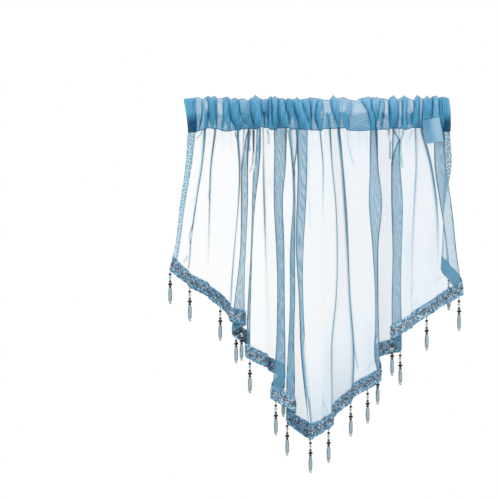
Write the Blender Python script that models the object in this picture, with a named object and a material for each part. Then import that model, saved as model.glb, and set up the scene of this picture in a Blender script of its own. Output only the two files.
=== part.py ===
"""A sheer window valance: a gathered rod pocket, a panel with a V-pointed lower edge, a braid and bead drops.

The origin is the middle of the top edge. +X is to the right, the front faces -Y and +Z is up.
Tables hold millimetres. "Down" is measured from the top edge, "along" across the cloth laid flat from
its left side edge, and "proud" towards the viewer from the middle plane.
"""

import math
from collections import namedtuple

import bpy
import numpy as np

MM = 0.001

# Cloth and braid
CLOTH_THICK = 1.0
BRAID_THICK = 1.4
BRAID_TALL = 22.4
BRAID_CROWN = 0.5
BRAID_GAP = 0.6
SEAM_GAP = 0.5
HEM_BELOW_BRAID_LINE = 8.0

# Lower edge: the braid's middle line falls from the left corner to the point and rises to the right
CORNER_DOWN = 265.0
EDGE_SLOPE = 0.6
POINT_ALONG = 453.0
Lift = namedtuple("Lift", "along up")
EDGE_LIFTS = (
    Lift(0, 0),
    Lift(35, -5),
    Lift(75, 0),
    Lift(98, -1),
    Lift(123, -6),
    Lift(152, 3),
    Lift(208, 0),
    Lift(224, -4),
    Lift(264, -1),
    Lift(293, 0),
    Lift(336, -3),
    Lift(379, -1),
    Lift(403, -3),
    Lift(423, -9),
    Lift(435, -11),
    Lift(453, -2),
    Lift(480, -5),
    Lift(503, -6),
    Lift(512, 0),
    Lift(529, 6),
    Lift(562, 6),
    Lift(592, -1),
    Lift(621, -5),
    Lift(664, 5),
    Lift(688, 0),
    Lift(834, 4),
    Lift(912, 2),
)

# Rod pocket
POCKET_TALL = 53.0
POCKET_HALF_DEPTH = 13.0
POCKET_WALL = 1.2
POCKET_HALF_WIDTH = 213.0
POCKET_END_FALL = 2.2
SEAM_WANDER = 0.65
SEAM_WAVE = 31.0
SEAM_RIPPLE = 17.0
PLEAT_DEPTH = 6.0
PLEAT_ROUNDNESS = 2.2
FULL_PLEAT = 10.0

# Label
LABEL_THICK = 1.0
LABEL_PROUD = 15.5
LABEL_CURL = 0.8
LABEL_STRIPS = 3
LABEL_CORNERS = ((163.0, 36.0), (195.0, 33.0), (197.0, 74.0), (168.0, 76.0))

# How square the folds are: 1 is a right angle, 0 a straight slope
FOLD_SQUARE_ACROSS = 0.75
FOLD_SQUARE_PROUD = 0.7

SKIRT_ROWS = 12
WIDE_FOLD = 30.0
WIDE_FOLD_STEPS = 6
NARROW_FOLD_STEPS = 4
SHARES = np.linspace(0, 1, 33)
SMALL_SHARE = 0.02

# Each fold: where it lies on the flat cloth, how proud the cloth is after it, and how far across at each DOWN
Fold = namedtuple("Fold", "name along proud_after across")
DOWN = (56, 110, 165, 240, 320, 400, 480, 550)
FOLDS = (
    Fold("left edge", 0, -7, (-210, -214, -222, -231, -250, -250, -250, -250)),
    Fold("first crease", 35, 4, (-182, -187, -197, -206, -208, -208, -208, -208)),
    Fold("second crease", 75, -8, (-167, -173, -175, -177, -178, -178, -178, -178)),
    Fold("third crease", 123, 14, (-130, -127, -129, -135, -141, -142, -142, -142)),
    Fold("left pleat, right", 152, 4, (-112, -114, -114, -116, -119, -118, -118, -118)),
    Fold("left pleat, left", 179, -12, (-122, -125, -124, -126, -135, -141, -141, -141)),
    Fold("narrow pleat, right", 208, -4, (-94, -96, -101, -106, -109, -110, -110, -110)),
    Fold("narrow pleat, left", 224, 6, (-104, -105, -107, -110, -113, -116, -116, -116)),
    Fold("fourth crease", 264, -12, (-90, -89, -88, -86, -83, -83, -83, -83)),
    Fold("broad pleat, right", 293, 0, (-53, -53, -58, -56, -54, -54, -53, -53)),
    Fold("broad pleat, left", 336, 12, (-72, -72, -72, -69, -67, -68, -76, -76)),
    Fold("slim pleat, right", 379, 0, (-34, -38, -38, -39, -38, -40, -39, -38)),
    Fold("slim pleat, left", 403, -12, (-48, -43, -42, -46, -47, -50, -52, -53)),
    Fold("point pleat, right", 435, 0, (-18, -19, -21, -24, -25, -22, -13, -7)),
    Fold("point pleat, left", 453, 12, (-35, -34, -35, -37, -33, -29, -22, -14)),
    Fold("faint crease", 483, 5, (2, 6, 6, 6, 6, 6, 6, 6)),
    Fold("fifth crease", 506, -10, (18, 22, 27, 29, 28, 21, 21, 22)),
    Fold("deep crease", 544, 12, (32, 38, 42, 46, 50, 55, 54, 56)),
    Fold("leaf pleat, right", 621, 0, (91, 94, 101, 94, 94, 97, 97, 97)),
    Fold("leaf pleat, left", 658, -12, (83, 82, 80, 86, 90, 89, 89, 89)),
    Fold("right pleat, right", 688, 0, (130, 130, 134, 134, 132, 133, 133, 133)),
    Fold("right pleat, left", 725, 12, (119, 116, 116, 117, 116, 116, 116, 116)),
    Fold("sixth crease", 755, 3, (154, 155, 152, 148, 147, 147, 147, 147)),
    Fold("seventh crease", 797, 12, (165, 179, 187, 190, 190, 190, 190, 190)),
    Fold("end pleat, right", 834, 0, (199, 203, 210, 218, 229, 229, 229, 229)),
    Fold("end pleat, left", 872, -11, (184, 186, 194, 205, 209, 209, 209, 209)),
    Fold("right edge", 912, -11, (210, 210, 200, 198, 194, 194, 194, 194)),
)
# The folds are shallow where the gathered top holds them
Deepness = namedtuple("Deepness", "down share")
DEEPNESSES = (
    Deepness(56, 0.5),
    Deepness(80, 0.8),
    Deepness(110, 1.0),
)

# The pocket's creases, from its top edge to its seam, and how high the edge rises between one and the next
Crease = namedtuple("Crease", "top bottom rise_after")
POCKET_LEFT = Crease(-216, -210, 0.0)
CREASES = (
    Crease(-200, -195, 0.0),
    Crease(-186, -189, 1.6),
    Crease(-179, -178, 1.2),
    Crease(-168, -166, 0.0),
    Crease(-155, -154, 0.8),
    Crease(-145, -130, -2.4),
    Crease(-137, -124, -1.6),
    Crease(-126, -110, -1.6),
    Crease(-114, -104, 0.8),
    Crease(-107, -92, 3.0),
    Crease(-92, -86, -1.6),
    Crease(-83, -80, 1.6),
    Crease(-77, -70, 1.6),
    Crease(-66, -60, -1.6),
    Crease(-56, -47, -2.4),
    Crease(-46, -35, 0.8),
    Crease(-28, -19, -2.4),
    Crease(-18, -12, -1.6),
    Crease(-10, -2, 0.0),
    Crease(3, 14, -2.0),
    Crease(19, 32, 2.8),
    Crease(45, 45, -3.0),
    Crease(61, 77, 0.8),
    Crease(78, 84, 0.0),
    Crease(88, 91, 0.4),
    Crease(98, 99, -1.6),
    Crease(112, 117, 2.4),
    Crease(134, 136, 2.4),
    Crease(144, 143, 2.4),
    Crease(160, 158, 1.2),
    Crease(178, 177, 2.4),
    Crease(189, 190, 0.0),
)
POCKET_RIGHT = Crease(210, 210, 0.8)
CREASE_DIP = 2.4

# The pocket's section, all the way round
Ring = namedtuple("Ring", "proud_share down_share pleat_share")
POCKET_LOOP = (
    Ring(0.0, 0.0, 0.0),
    Ring(0.62, 0.09, 0.5),
    Ring(1.0, 0.36, 1.0),
    Ring(0.95, 0.72, 1.0),
    Ring(0.46, 1.0, 0.2),
    Ring(-0.46, 1.0, -0.2),
    Ring(-0.95, 0.72, -1.0),
    Ring(-1.0, 0.36, -1.0),
    Ring(-0.62, 0.09, -0.5),
)
PLEAT_COLUMNS = (0.0, 0.3, 0.7)

# A drop, from its thread to its last bead
Turn = namedtuple("Turn", "below radius")
DROP_PROFILE = (
    Turn(0.0, 0.4),
    Turn(3.1, 0.6),
    Turn(5.0, 1.9),
    Turn(7.9, 0.9),
    Turn(10.9, 2.0),
    Turn(13.8, 0.9),
    Turn(16.6, 1.9),
    Turn(18.3, 1.4),
    Turn(21.4, 3.2),
    Turn(24.0, 1.4),
    Turn(25.6, 2.1),
    Turn(27.2, 1.3),
    Turn(27.8, 2.9),
    Turn(48.0, 2.9),
    Turn(48.8, 1.2),
    Turn(50.6, 2.2),
    Turn(52.4, 0.7),
)
DROP_SIDES = 6
DROP_GAP = 1.1
LEFT_DROPS_ALONG = (2, 40, 99, 160, 168, 232, 303, 346, 403)
POINT_DROP_ALONG = 458
RIGHT_DROPS_ALONG = (494, 538, 587, 638, 686, 717, 779, 826, 882)


def clear_scene():
    for each in list(bpy.data.objects):
        bpy.data.objects.remove(each)


def material(name, colour, roughness):
    made = bpy.data.materials.new(name)
    made.use_nodes = True
    shader = made.node_tree.nodes["Principled BSDF"]
    shader.inputs["Base Color"].default_value = (*colour, 1.0)
    shader.inputs["Roughness"].default_value = roughness
    shader.inputs["Metallic"].default_value = 0.0
    return made


def smooth_at(places, values, at):
    """Values on a smooth curve through the table's points."""
    places, values, at = (np.asarray(x, float) for x in (places, values, at))
    slopes = np.gradient(values, places)
    left = np.clip(np.searchsorted(places, at) - 1, 0, len(places) - 2)
    step = places[left + 1] - places[left]
    t = np.clip((at - places[left]) / step, 0, 1)
    rise = t * t * (3 - 2 * t)
    start, end = slopes[left] * step, slopes[left + 1] * step
    curve = t * (1 - t) ** 2 * start - t * t * (1 - t) * end
    return values[left] * (1 - rise) + values[left + 1] * rise + curve


def braid_down(along):
    """How far down the braid's middle line lies."""
    straight = CORNER_DOWN + EDGE_SLOPE * (POINT_ALONG - abs(along - POINT_ALONG))
    return straight - float(smooth_at(*zip(*EDGE_LIFTS), along))


def fold_proud(index):
    """How proud the cloth is on either side of a fold, before the top's gathers are allowed for."""
    before = FOLDS[max(index - 1, 0)].proud_after
    after = FOLDS[min(index, len(FOLDS) - 2)].proud_after
    return before, after


def cloth_point(column, down):
    """The middle of the cloth: across and proud, at a column (fold, share of the way to the next)."""
    index, share = column
    here = smooth_at(DOWN, FOLDS[index].across, down)
    following = smooth_at(DOWN, FOLDS[index + 1].across, down)
    middle = (here + following) / 2
    edge, bend = (here, 2 * share) if share <= 0.5 else (following, 2 - 2 * share)
    level = FOLDS[index].proud_after
    start = sum(fold_proud(index if share <= 0.5 else index + 1)) / 2
    across = 3 * (1 - bend) * bend**2 * (1 - FOLD_SQUARE_ACROSS) + bend**3
    proud = 3 * (1 - bend) ** 2 * bend * FOLD_SQUARE_PROUD + 3 * (1 - bend) * bend**2 + bend**3
    deep = np.interp(down, *zip(*DEEPNESSES))
    return edge + (middle - edge) * across, deep * (start + (level - start) * proud)


def fold_columns():
    """Every column of the cloth: more of them where a fold is wide."""
    columns = []
    for index, fold in enumerate(FOLDS[:-1]):
        width = FOLDS[index + 1].along - fold.along
        steps = WIDE_FOLD_STEPS if width >= WIDE_FOLD else NARROW_FOLD_STEPS
        columns += [(index, step / steps) for step in range(steps)]
    return columns + [(len(FOLDS) - 2, 1.0)]


def column_along(column):
    """Where a column lies on the flat cloth, by its share of the fold's length at the lower edge."""
    index, share = column
    start, end = FOLDS[index].along, FOLDS[index + 1].along
    down = braid_down((start + end) / 2)
    walk = np.array([cloth_point((index, each), down) for each in SHARES])
    steps = np.hypot(*np.diff(walk, axis=0).T)
    length = np.concatenate([[0], np.cumsum(steps)])
    return start + (end - start) * float(np.interp(share, SHARES, length / length[-1]))


def column_at(along):
    """The column at a place on the flat cloth."""
    index = max(i for i, fold in enumerate(FOLDS[:-1]) if fold.along <= along)
    return index, float(np.interp(along, [column_along((index, each)) for each in SHARES], SHARES))


def facing(column, down):
    """The direction that the cloth's front faces, across and proud."""
    index, share = column
    before = cloth_point((index, max(share - SMALL_SHARE, 0)), down)
    after = cloth_point((index, min(share + SMALL_SHARE, 1)), down)
    run = np.subtract(after, before)
    return np.array([-run[1], run[0]]) / np.hypot(*run)


def placed(across, proud, down):
    return (across * MM, -proud * MM, -down * MM)


def pocket_bottom(across):
    """How far down the gathered seam lies: it wanders a little, and is lowest at the pocket's two ends."""
    wander = SEAM_WANDER * (math.sin(across / SEAM_WAVE) - math.cos(across / SEAM_RIPPLE))
    return POCKET_TALL + wander + POCKET_END_FALL * abs(across / POCKET_HALF_WIDTH) ** 8


def grid_object(name, rows_of_points, closed_across=False):
    """A mesh of quads through a grid of points."""
    count, width = len(rows_of_points), len(rows_of_points[0])
    points = [point for row in rows_of_points for point in row]
    last = width if closed_across else width - 1
    faces = []
    for i in range(count - 1):
        for j in range(last):
            after = (j + 1) % width
            a, b = i * width + j, i * width + after
            faces.append((a, b, b + width, a + width))
    mesh = bpy.data.meshes.new(name)
    mesh.from_pydata(points, [], faces)
    made = bpy.data.objects.new(name, mesh)
    bpy.context.collection.objects.link(made)
    return made


def thicken(made, thickness, offset):
    solid = made.modifiers.new("Thickness", "SOLIDIFY")
    solid.thickness = thickness * MM
    solid.offset = offset
    solid.use_even_offset = False
    solid.use_quality_normals = True


def finish(made, parent, surface):
    made.data.materials.append(surface)
    made.data.shade_smooth()
    made.parent = parent
    return made


def skirt(parent, surface):
    """The panel: one cloth in its hanging folds, down to the slanting lower edge."""
    grid = []
    for column in fold_columns():
        along = column_along(column)
        across = float(cloth_point(column, DOWN[0])[0])
        top = pocket_bottom(across) + SEAM_GAP
        bottom = braid_down(along) + HEM_BELOW_BRAID_LINE
        downs = [*np.linspace(top, braid_down(along) - BRAID_TALL / 2, SKIRT_ROWS), bottom]
        grid.append([placed(*cloth_point(column, down), down) for down in downs])
    made = grid_object("skirt", grid)
    thicken(made, CLOTH_THICK, 0.0)
    return finish(made, parent, surface)


def trim(parent, surface):
    """The braid on the front of the lower edge, a little crowned along its middle."""
    back = CLOTH_THICK / 2 + BRAID_GAP
    grid = []
    for column in fold_columns():
        middle = braid_down(column_along(column))
        row = []
        for share, crown in ((-0.5, 0.0), (0.0, BRAID_CROWN), (0.5, 0.0)):
            down = middle + share * BRAID_TALL
            point = np.array(cloth_point(column, down)) + (back + crown) * facing(column, down)
            row.append(placed(*point, down))
        grid.append(row)
    made = grid_object("trim", grid)
    thicken(made, BRAID_THICK, 1.0)
    return finish(made, parent, surface)


def pleats():
    """Each pleat of the pocket: its left and right creases, and how high its top edge rises."""
    lines = (POCKET_LEFT, *CREASES, POCKET_RIGHT)
    return [(a, b, a.rise_after) for a, b in zip(lines, lines[1:])]


def pocket_ring(left, right, rise, share):
    """One section of the pocket, at a share of the way across a pleat."""
    bulge = 1 - abs(2 * share - 1) ** PLEAT_ROUNDNESS
    full = min(1.0, (right.top - left.top) / FULL_PLEAT)
    top = -(bulge * (rise + CREASE_DIP) - CREASE_DIP)
    ring = []
    for loop in POCKET_LOOP:
        from_left = left.top + (left.bottom - left.top) * loop.down_share
        from_right = right.top + (right.bottom - right.top) * loop.down_share
        across = from_left + (from_right - from_left) * share
        wave = (bulge - 0.5) * full * PLEAT_DEPTH * abs(loop.pleat_share)
        proud = POCKET_HALF_DEPTH * loop.proud_share + wave
        down = top * (1 - loop.down_share) + pocket_bottom(across) * loop.down_share
        ring.append(placed(across, proud, down))
    return ring


def heading(parent, surface):
    """The rod pocket: a gathered tube, open at both ends."""
    rings = [
        pocket_ring(left, right, rise, share) for left, right, rise in pleats() for share in PLEAT_COLUMNS
    ]
    left, right, rise = pleats()[-1]
    rings.append(pocket_ring(left, right, rise, 1.0))
    made = grid_object("heading", rings, closed_across=True)
    thicken(made, POCKET_WALL, -1.0)
    return finish(made, parent, surface)


def label(parent, surface):
    """A blank tab sewn on the front of the heading."""
    (ax, az), (bx, bz), (cx, cz), (dx, dz) = LABEL_CORNERS
    grid = []
    for t in np.linspace(0, 1, LABEL_STRIPS + 1):
        curl = LABEL_CURL * math.sin(math.pi * t)
        upper = placed(ax + (bx - ax) * t, LABEL_PROUD, az + (bz - az) * t)
        lower = placed(dx + (cx - dx) * t, LABEL_PROUD + curl, dz + (cz - dz) * t)
        grid.append([upper, lower])
    made = grid_object("label", grid)
    thicken(made, LABEL_THICK, 0.0)
    return finish(made, parent, surface)


def drop_mesh(surface):
    """One bead drop, turned about its own thread."""
    points, faces = [], []
    for down, radius in DROP_PROFILE:
        for side in range(DROP_SIDES):
            angle = 2 * math.pi * side / DROP_SIDES
            points.append((radius * math.cos(angle) * MM, radius * math.sin(angle) * MM, -down * MM))
    for ring in range(len(DROP_PROFILE) - 1):
        for side in range(DROP_SIDES):
            a = ring * DROP_SIDES + side
            b = ring * DROP_SIDES + (side + 1) % DROP_SIDES
            faces.append((a, a + DROP_SIDES, b + DROP_SIDES, b))
    faces.append(tuple(range(DROP_SIDES)))
    last = (len(DROP_PROFILE) - 1) * DROP_SIDES
    faces.append(tuple(last + side for side in reversed(range(DROP_SIDES))))
    mesh = bpy.data.meshes.new("drop")
    mesh.from_pydata(points, [], faces)
    mesh.shade_smooth()
    mesh.materials.append(surface)
    return mesh


def drops(parent, surface):
    """The drops, each hanging below the braid's lower edge."""
    mesh = drop_mesh(surface)
    proud_of_cloth = CLOTH_THICK / 2 + BRAID_GAP + BRAID_THICK / 2
    for number, along in enumerate((*LEFT_DROPS_ALONG, POINT_DROP_ALONG, *RIGHT_DROPS_ALONG), 1):
        column = column_at(along)
        down = braid_down(along) + BRAID_TALL / 2
        point = np.array(cloth_point(column, down)) + proud_of_cloth * facing(column, down)
        made = bpy.data.objects.new(f"drop_{number:02d}", mesh)
        bpy.context.collection.objects.link(made)
        made.parent = parent
        made.location = placed(*point, down + DROP_GAP)


def main():
    clear_scene()
    valance = bpy.data.objects.new("valance", None)
    bpy.context.collection.objects.link(valance)
    voile = material("voile", (0.25, 0.47, 0.62), 0.7)
    pocket_voile = material("pocket voile", (0.08, 0.34, 0.58), 0.65)
    braid = material("braid", (0.08, 0.22, 0.38), 0.45)
    tab = material("label tape", (0.30, 0.50, 0.72), 0.6)
    beads = material("beads", (0.16, 0.26, 0.32), 0.2)
    heading(valance, pocket_voile)
    skirt(valance, voile)
    trim(valance, braid)
    label(valance, tab)
    drops(valance, beads)


main()
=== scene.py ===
"""The looks of a sheer window valance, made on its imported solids.

Tables hold millimetres. "Down" is measured from the top edge, "along" across the cloth laid flat from
its left side edge, and "proud" towards the viewer from the middle plane.
"""

import math
from collections import namedtuple

import bpy
import numpy as np
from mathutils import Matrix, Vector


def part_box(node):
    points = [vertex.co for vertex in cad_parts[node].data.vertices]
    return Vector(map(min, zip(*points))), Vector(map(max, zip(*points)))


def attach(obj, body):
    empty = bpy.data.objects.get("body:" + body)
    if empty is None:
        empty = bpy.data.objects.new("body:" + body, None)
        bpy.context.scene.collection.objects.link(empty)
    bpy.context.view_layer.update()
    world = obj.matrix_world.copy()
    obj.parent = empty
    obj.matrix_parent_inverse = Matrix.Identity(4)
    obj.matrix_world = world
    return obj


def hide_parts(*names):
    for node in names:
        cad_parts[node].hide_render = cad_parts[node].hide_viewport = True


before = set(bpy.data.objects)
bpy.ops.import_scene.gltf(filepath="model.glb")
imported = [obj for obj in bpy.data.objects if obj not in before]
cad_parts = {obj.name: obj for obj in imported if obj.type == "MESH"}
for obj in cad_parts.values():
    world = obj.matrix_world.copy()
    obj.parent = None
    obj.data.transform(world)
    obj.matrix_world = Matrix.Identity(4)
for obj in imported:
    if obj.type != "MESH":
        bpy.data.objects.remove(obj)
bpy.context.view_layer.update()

MM = 0.001

# The photograph's view: its width and where it is aimed, in metres
VIEW_WIDE = 0.8
VIEW_ACROSS = -0.1104
VIEW_UP = -0.2448
CAMERA_AWAY = 3.0
SENSOR = 36.0

# Lower edge and braid
BRAID_TALL = 22.4
HEM_BELOW_BRAID_LINE = 8.0
CORNER_DOWN = 265.0
EDGE_SLOPE = 0.6
POINT_ALONG = 453.0
EDGE_LIFTS = (
    (0, 0), (35, -5), (75, 0), (98, -1), (123, -6), (152, 3), (208, 0), (224, -4), (264, -1), (293, 0),
    (336, -3), (379, -1), (403, -3), (423, -9), (435, -11), (453, -2), (480, -5), (503, -6), (512, 0),
    (529, 6), (562, 6), (592, -1), (621, -5), (664, 5), (688, 0), (834, 4), (912, 2),
)
EDGE_PLACES, EDGE_RISES = np.array(EDGE_LIFTS, float).T
# How far the braid's own upper and lower edges are pulled down, where it is folded over or comes to a point
UPPER_PULLS = ((0, 0), (834, 0), (842, -5), (850, -8), (862, -7), (872, -6), (885, -2), (895, 1), (912, 7))
LOWER_PULLS = (
    (0, 0), (284, 0), (296, 9), (312, 6), (322, 0), (395, 0), (412, 1.5), (425, 4.5), (430, 4), (436, -4.5),
    (446, -1), (453, 0), (868, 0), (885, 5), (900, 7), (912, 6),
)
UPPER_PLACES, UPPER_PULL = np.array(UPPER_PULLS, float).T
LOWER_PLACES, LOWER_PULL = np.array(LOWER_PULLS, float).T
# The folds where the braid's back shows and is smooth
SMOOTH_BACKS = (9, 24, 25)

# Rod pocket
POCKET_TALL = 53.0
POCKET_HALF_DEPTH = 13.0
POCKET_HALF_WIDTH = 213.0
POCKET_END_FALL = 2.2
POCKET_END_POWER = 8
SEAM_WANDER = 0.65
SEAM_WAVE = 31.0
SEAM_RIPPLE = 17.0
FULL_PLEAT = 10.0

# How square the cloth's folds are, the step that finds which way it faces, and the points of a fold's walk
FOLD_SQUARE_ACROSS = 0.75
FOLD_SQUARE_PROUD = 0.7
FACING_STEP = 0.02
WALK_POINTS = 33
# The panel's folds, as in its solid: each one's place along the cloth, how proud the cloth is after it, and
# its places across at these depths. The last of them holds further down.
Fold = namedtuple("Fold", "name along proud_after across")
DOWN = np.array((56, 110, 165, 240, 320, 400, 480, 550), float)
FOLDS = [Fold(*row) for row in (
    ("left edge", 0, -7, (-210, -214, -222, -231, -250)),
    ("first crease", 35, 4, (-182, -187, -196, -206, -208)),
    ("second crease", 75, -8, (-167, -173, -175, -177, -178)),
    ("third crease", 123, 14, (-130, -127, -129, -135, -141, -142)),
    ("left pleat, right", 152, 4, (-112, -114, -114, -116, -119, -118)),
    ("left pleat, left", 179, -12, (-122, -125, -124, -126, -135, -141)),
    ("narrow pleat, right", 208, -4, (-94, -96, -101, -106, -109, -110)),
    ("narrow pleat, left", 224, 6, (-104, -105, -107, -110, -113, -116)),
    ("fourth crease", 264, -12, (-90, -89, -88, -86, -83)),
    ("broad pleat, right", 293, 0, (-53, -53, -58, -56, -54, -54, -53)),
    ("broad pleat, left", 336, 12, (-72, -72, -72, -69, -67, -68, -76)),
    ("slim pleat, right", 379, 0, (-34, -38, -38, -39, -38, -40, -39, -38)),
    ("slim pleat, left", 403, -12, (-48, -43, -42, -46, -47, -50, -52, -53)),
    ("point pleat, right", 435, 0, (-18, -19, -21, -24, -25, -22, -13, -7)),
    ("point pleat, left", 453, 12, (-35, -34, -35, -37, -33, -29, -22, -14)),
    ("faint crease", 483, 5, (2, 6)),
    ("fifth crease", 506, -10, (18, 22, 27, 29, 28, 21, 21, 22)),
    ("deep crease", 544, 12, (32, 38, 42, 46, 50, 55, 54, 56)),
    ("leaf pleat, right", 621, 0, (91, 94, 101, 94, 94, 97)),
    ("leaf pleat, left", 658, -12, (83, 82, 80, 86, 90, 89)),
    ("right pleat, right", 688, 0, (130, 130, 134, 134, 132, 133)),
    ("right pleat, left", 725, 12, (119, 116, 116, 117, 116)),
    ("sixth crease", 755, 3, (154, 155, 152, 148, 147)),
    ("seventh crease", 797, 12, (165, 179, 187, 190)),
    ("end pleat, right", 834, 0, (199, 203, 210, 218, 229)),
    ("end pleat, left", 872, -11, (184, 186, 194, 205, 209)),
    ("right edge", 912, -11, (210, 213, 203, 198, 194)),
)]
# The folds are less deep near the gathers
DEEP_DOWN = (56, 80, 110)
DEEP_SHARE = (0.5, 0.8, 1.0)

FOLD_ALONG = np.array([fold.along for fold in FOLDS], float)
FOLD_SPANS = tuple(zip(FOLD_ALONG, FOLD_ALONG[1:]))
ACROSS = np.array([(fold.across + fold.across[-1:] * len(DOWN))[:len(DOWN)] for fold in FOLDS], float)
ACROSS_SLOPES = np.gradient(ACROSS, DOWN, axis=1)
LEVEL = np.array([fold.proud_after for fold in FOLDS], float)
LEVEL[-1] = LEVEL[-2]
START = (LEVEL + np.concatenate([LEVEL[:1], LEVEL[:-1]])) / 2
WIDTH = ACROSS[1:, 2] - ACROSS[:-1, 2]
IS_REVERSED = np.concatenate([WIDTH < 0, [False]])

# A fold's line at five depths: how strong its soft part and its dark core are, how wide the soft part is,
# and how far it lies to the side of the core. A single strength holds at all depths.
Line = namedtuple("Line", "soft core width shift")
LINE_DOWN = (56, 130, 200, 280, 400)
PLEAT_LINE = Line(0.3, (0.9, 0.88, 0.85, 0.85, 0.85), 1.6, 0.0)
LINES = {
    "left edge": Line(0.0, (0.4, 0.35, 0.3, 0.15, 0.0), 1.6, 0.0),
    "first crease": Line((0.85, 0.6, 0.15, 0.0, 0.0), (1.0, 1.0, 0.8, 0.0, 0.0), 2.2, -1.2),
    "second crease": Line((0.6, 0.4, 0.15, 0.0, 0.0), (0.75, 0.75, 0.65, 0.0, 0.0), 1.6, 0.8),
    "third crease": Line((0.35, 0.32, 0.25, 0.2, 0.2), (1.0, 0.97, 0.95, 0.8, 0.25), 1.7, 1.0),
    "left pleat, left": Line(0.3, (0.7, 0.78, 0.85, 0.85, 0.85), 1.6, 0.0),
    "fourth crease": Line((0.45, 0.45, 0.45, 0.15, 0.0), (0.5, 0.6, 0.65, 0.1, 0.0), 1.9, 0.8),
    "point pleat, left": Line((0.3, 0.3, 0.3, 0.45, 0.8), (0.9, 0.9, 0.85, 0.9, 1.0), 1.7, 0.8),
    "faint crease": Line((0.35, 0.2, 0.0, 0.0, 0.0), (0.95, 0.5, 0.0, 0.0, 0.0), 1.7, 0.0),
    "fifth crease": Line((0.5, 0.42, 0.35, 0.38, 0.4), (1.0, 1.0, 0.95, 0.8, 0.6), 1.8, -0.8),
    "deep crease": Line((0.7, 0.7, 0.7, 0.6, 0.5), (0.75, 0.85, 0.95, 0.85, 0.7), 2.2, -1.2),
    "leaf pleat, left": Line(0.3, (0.85, 0.75, 0.65, 0.7, 0.8), 1.6, 0.0),
    "right pleat, left": Line((0.45, 0.45, 0.45, 0.4, 0.3), (1.0, 1.0, 1.0, 0.9, 0.85), 1.7, 0.0),
    "sixth crease": Line((0.6, 0.5, 0.4, 0.2, 0.1), (0.55, 0.4, 0.15, 0.0, 0.0), 2.1, 0.6),
    "seventh crease": Line((0.75, 0.65, 0.35, 0.0, 0.0), (0.9, 0.85, 0.45, 0.0, 0.0), 2.2, -1.4),
    "right edge": Line(0.0, (0.8, 0.8, 0.8, 0.65, 0.35), 1.6, 0.0),
}
CORE_WIDTH = 0.95
# A line makes the cloth as dense as this. Its soft part has this tone, and its core darkens it so much.
LINE_DENSITY = 0.9
LINE_TONE = 0.42
CORE_DARK = 1.35
# A faint painted shade spreads from each fold
FOLD_SHADE_DOWN = (56, 280, 380)
FOLD_SHADE = (0.045, 0.045, 0.11)
FOLD_SHADE_REACH = 6.0

# Short creases of the panel, each a soft ridge from one place to another: across and down
Ridge = namedtuple("Ridge", "places folds height width shade")
RIDGES = [Ridge(*row) for row in (
    (((-109, 53), (-110.5, 62), (-112, 72), (-111, 85)), (4, 6), 0.7, 1.1, 1.0),
    (((-104, 53), (-104.5, 85), (-106.5, 108), (-110, 119)), (5, 8), 0.7, 1.0, 1.0),
    (((-99, 53), (-99.5, 80), (-101, 108)), (5, 8), 0.6, 0.9, 0.6),
    (((-113, 55), (-117, 66), (-122, 100), (-125.5, 130)), (4, 6), 0.5, 1.0, 0.8),
    (((-134, 56), (-132, 63), (-129, 70)), (2, 4), 0.8, 1.1, 1.0),
    (((-83, 53), (-81, 60), (-81, 74)), (8, 10), 0.8, 1.1, 0.8),
    (((-187, 56), (-190, 60), (-196, 66)), (0, 2), 0.8, 0.9, 0.9),
    (((-197.5, 176), (-201, 200), (-207.2, 221), (-206, 236)), (0, 2), 0.9, 1.1, 0.65),
    (((-206, 240), (-206.4, 253), (-208.6, 274)), (0, 2), 0.9, 1.1, 0.75),
    (((-217, 263), (-213, 261), (-211, 254)), (0, 2), 0.6, 0.9, 0.8),
    (((-174.6, 148), (-177, 157), (-175, 165)), (1, 3), 0.7, 0.95, 0.6),
    (((-18, 85), (-16, 165), (-14, 210)), (14, 15), 0.6, 1.3, 0.25),
    (((45, 53), (46, 75), (50, 93), (54, 106)), (17, 18), 0.9, 1.5, 0.35),
    (((112, 53), (113.5, 66), (115, 77), (114, 98)), (19, 21), 0.8, 1.0, 0.9),
    (((99, 53), (98, 80), (96, 109)), (17, 18), 0.7, 1.2, 0.7),
    (((-50, 53), (-45, 85), (-43, 109), (-40, 126)), (9, 12), 0.9, 1.4, 0.75),
    (((-34, 53), (-34.4, 70), (-36.3, 90), (-40.3, 110)), (11, 13), 0.9, 1.1, 0.9),
    (((134.5, 53), (133, 62), (130, 70), (129.7, 90), (132, 112)), (20, 22), 0.8, 1.3, 0.85),
    (((120, 53), (121.5, 58), (128, 69), (120, 88), (116.5, 110)), (20, 22), 0.8, 1.0, 0.9),
    (((148, 53), (146, 61), (144, 69)), (21, 23), 0.7, 1.5, 0.4),
    (((55, 397), (62, 432)), (17, 18), 0.9, 1.1, 0.6),
    (((195, 288), (189, 290), (184, 295)), (22, 24), 0.8, 1.2, 0.25),
    (((158, 324), (153, 333)), (22, 23), 0.8, 1.2, 0.2),
    (((150, 300), (147, 313)), (22, 23), 0.8, 1.3, 0.15),
    (((91, 380), (88.6, 390), (88.2, 404), (88.8, 424)), (17, 19), 0.8, 1.2, 0.7),
    (((84, 424), (78, 432)), (17, 18), 0.8, 2.2, 0.2),
    (((6.4, 488), (9.6, 495), (13.6, 504)), (15, 16), 0.8, 1.0, 0.35),
    (((5, 506), (5, 490), (8, 478)), (14, 16), 0.8, 1.0, 0.2),
    (((-16.8, 482), (-14.4, 499), (-12.5, 520)), (13, 14), 0.5, 0.9, 0.9),
)]
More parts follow.
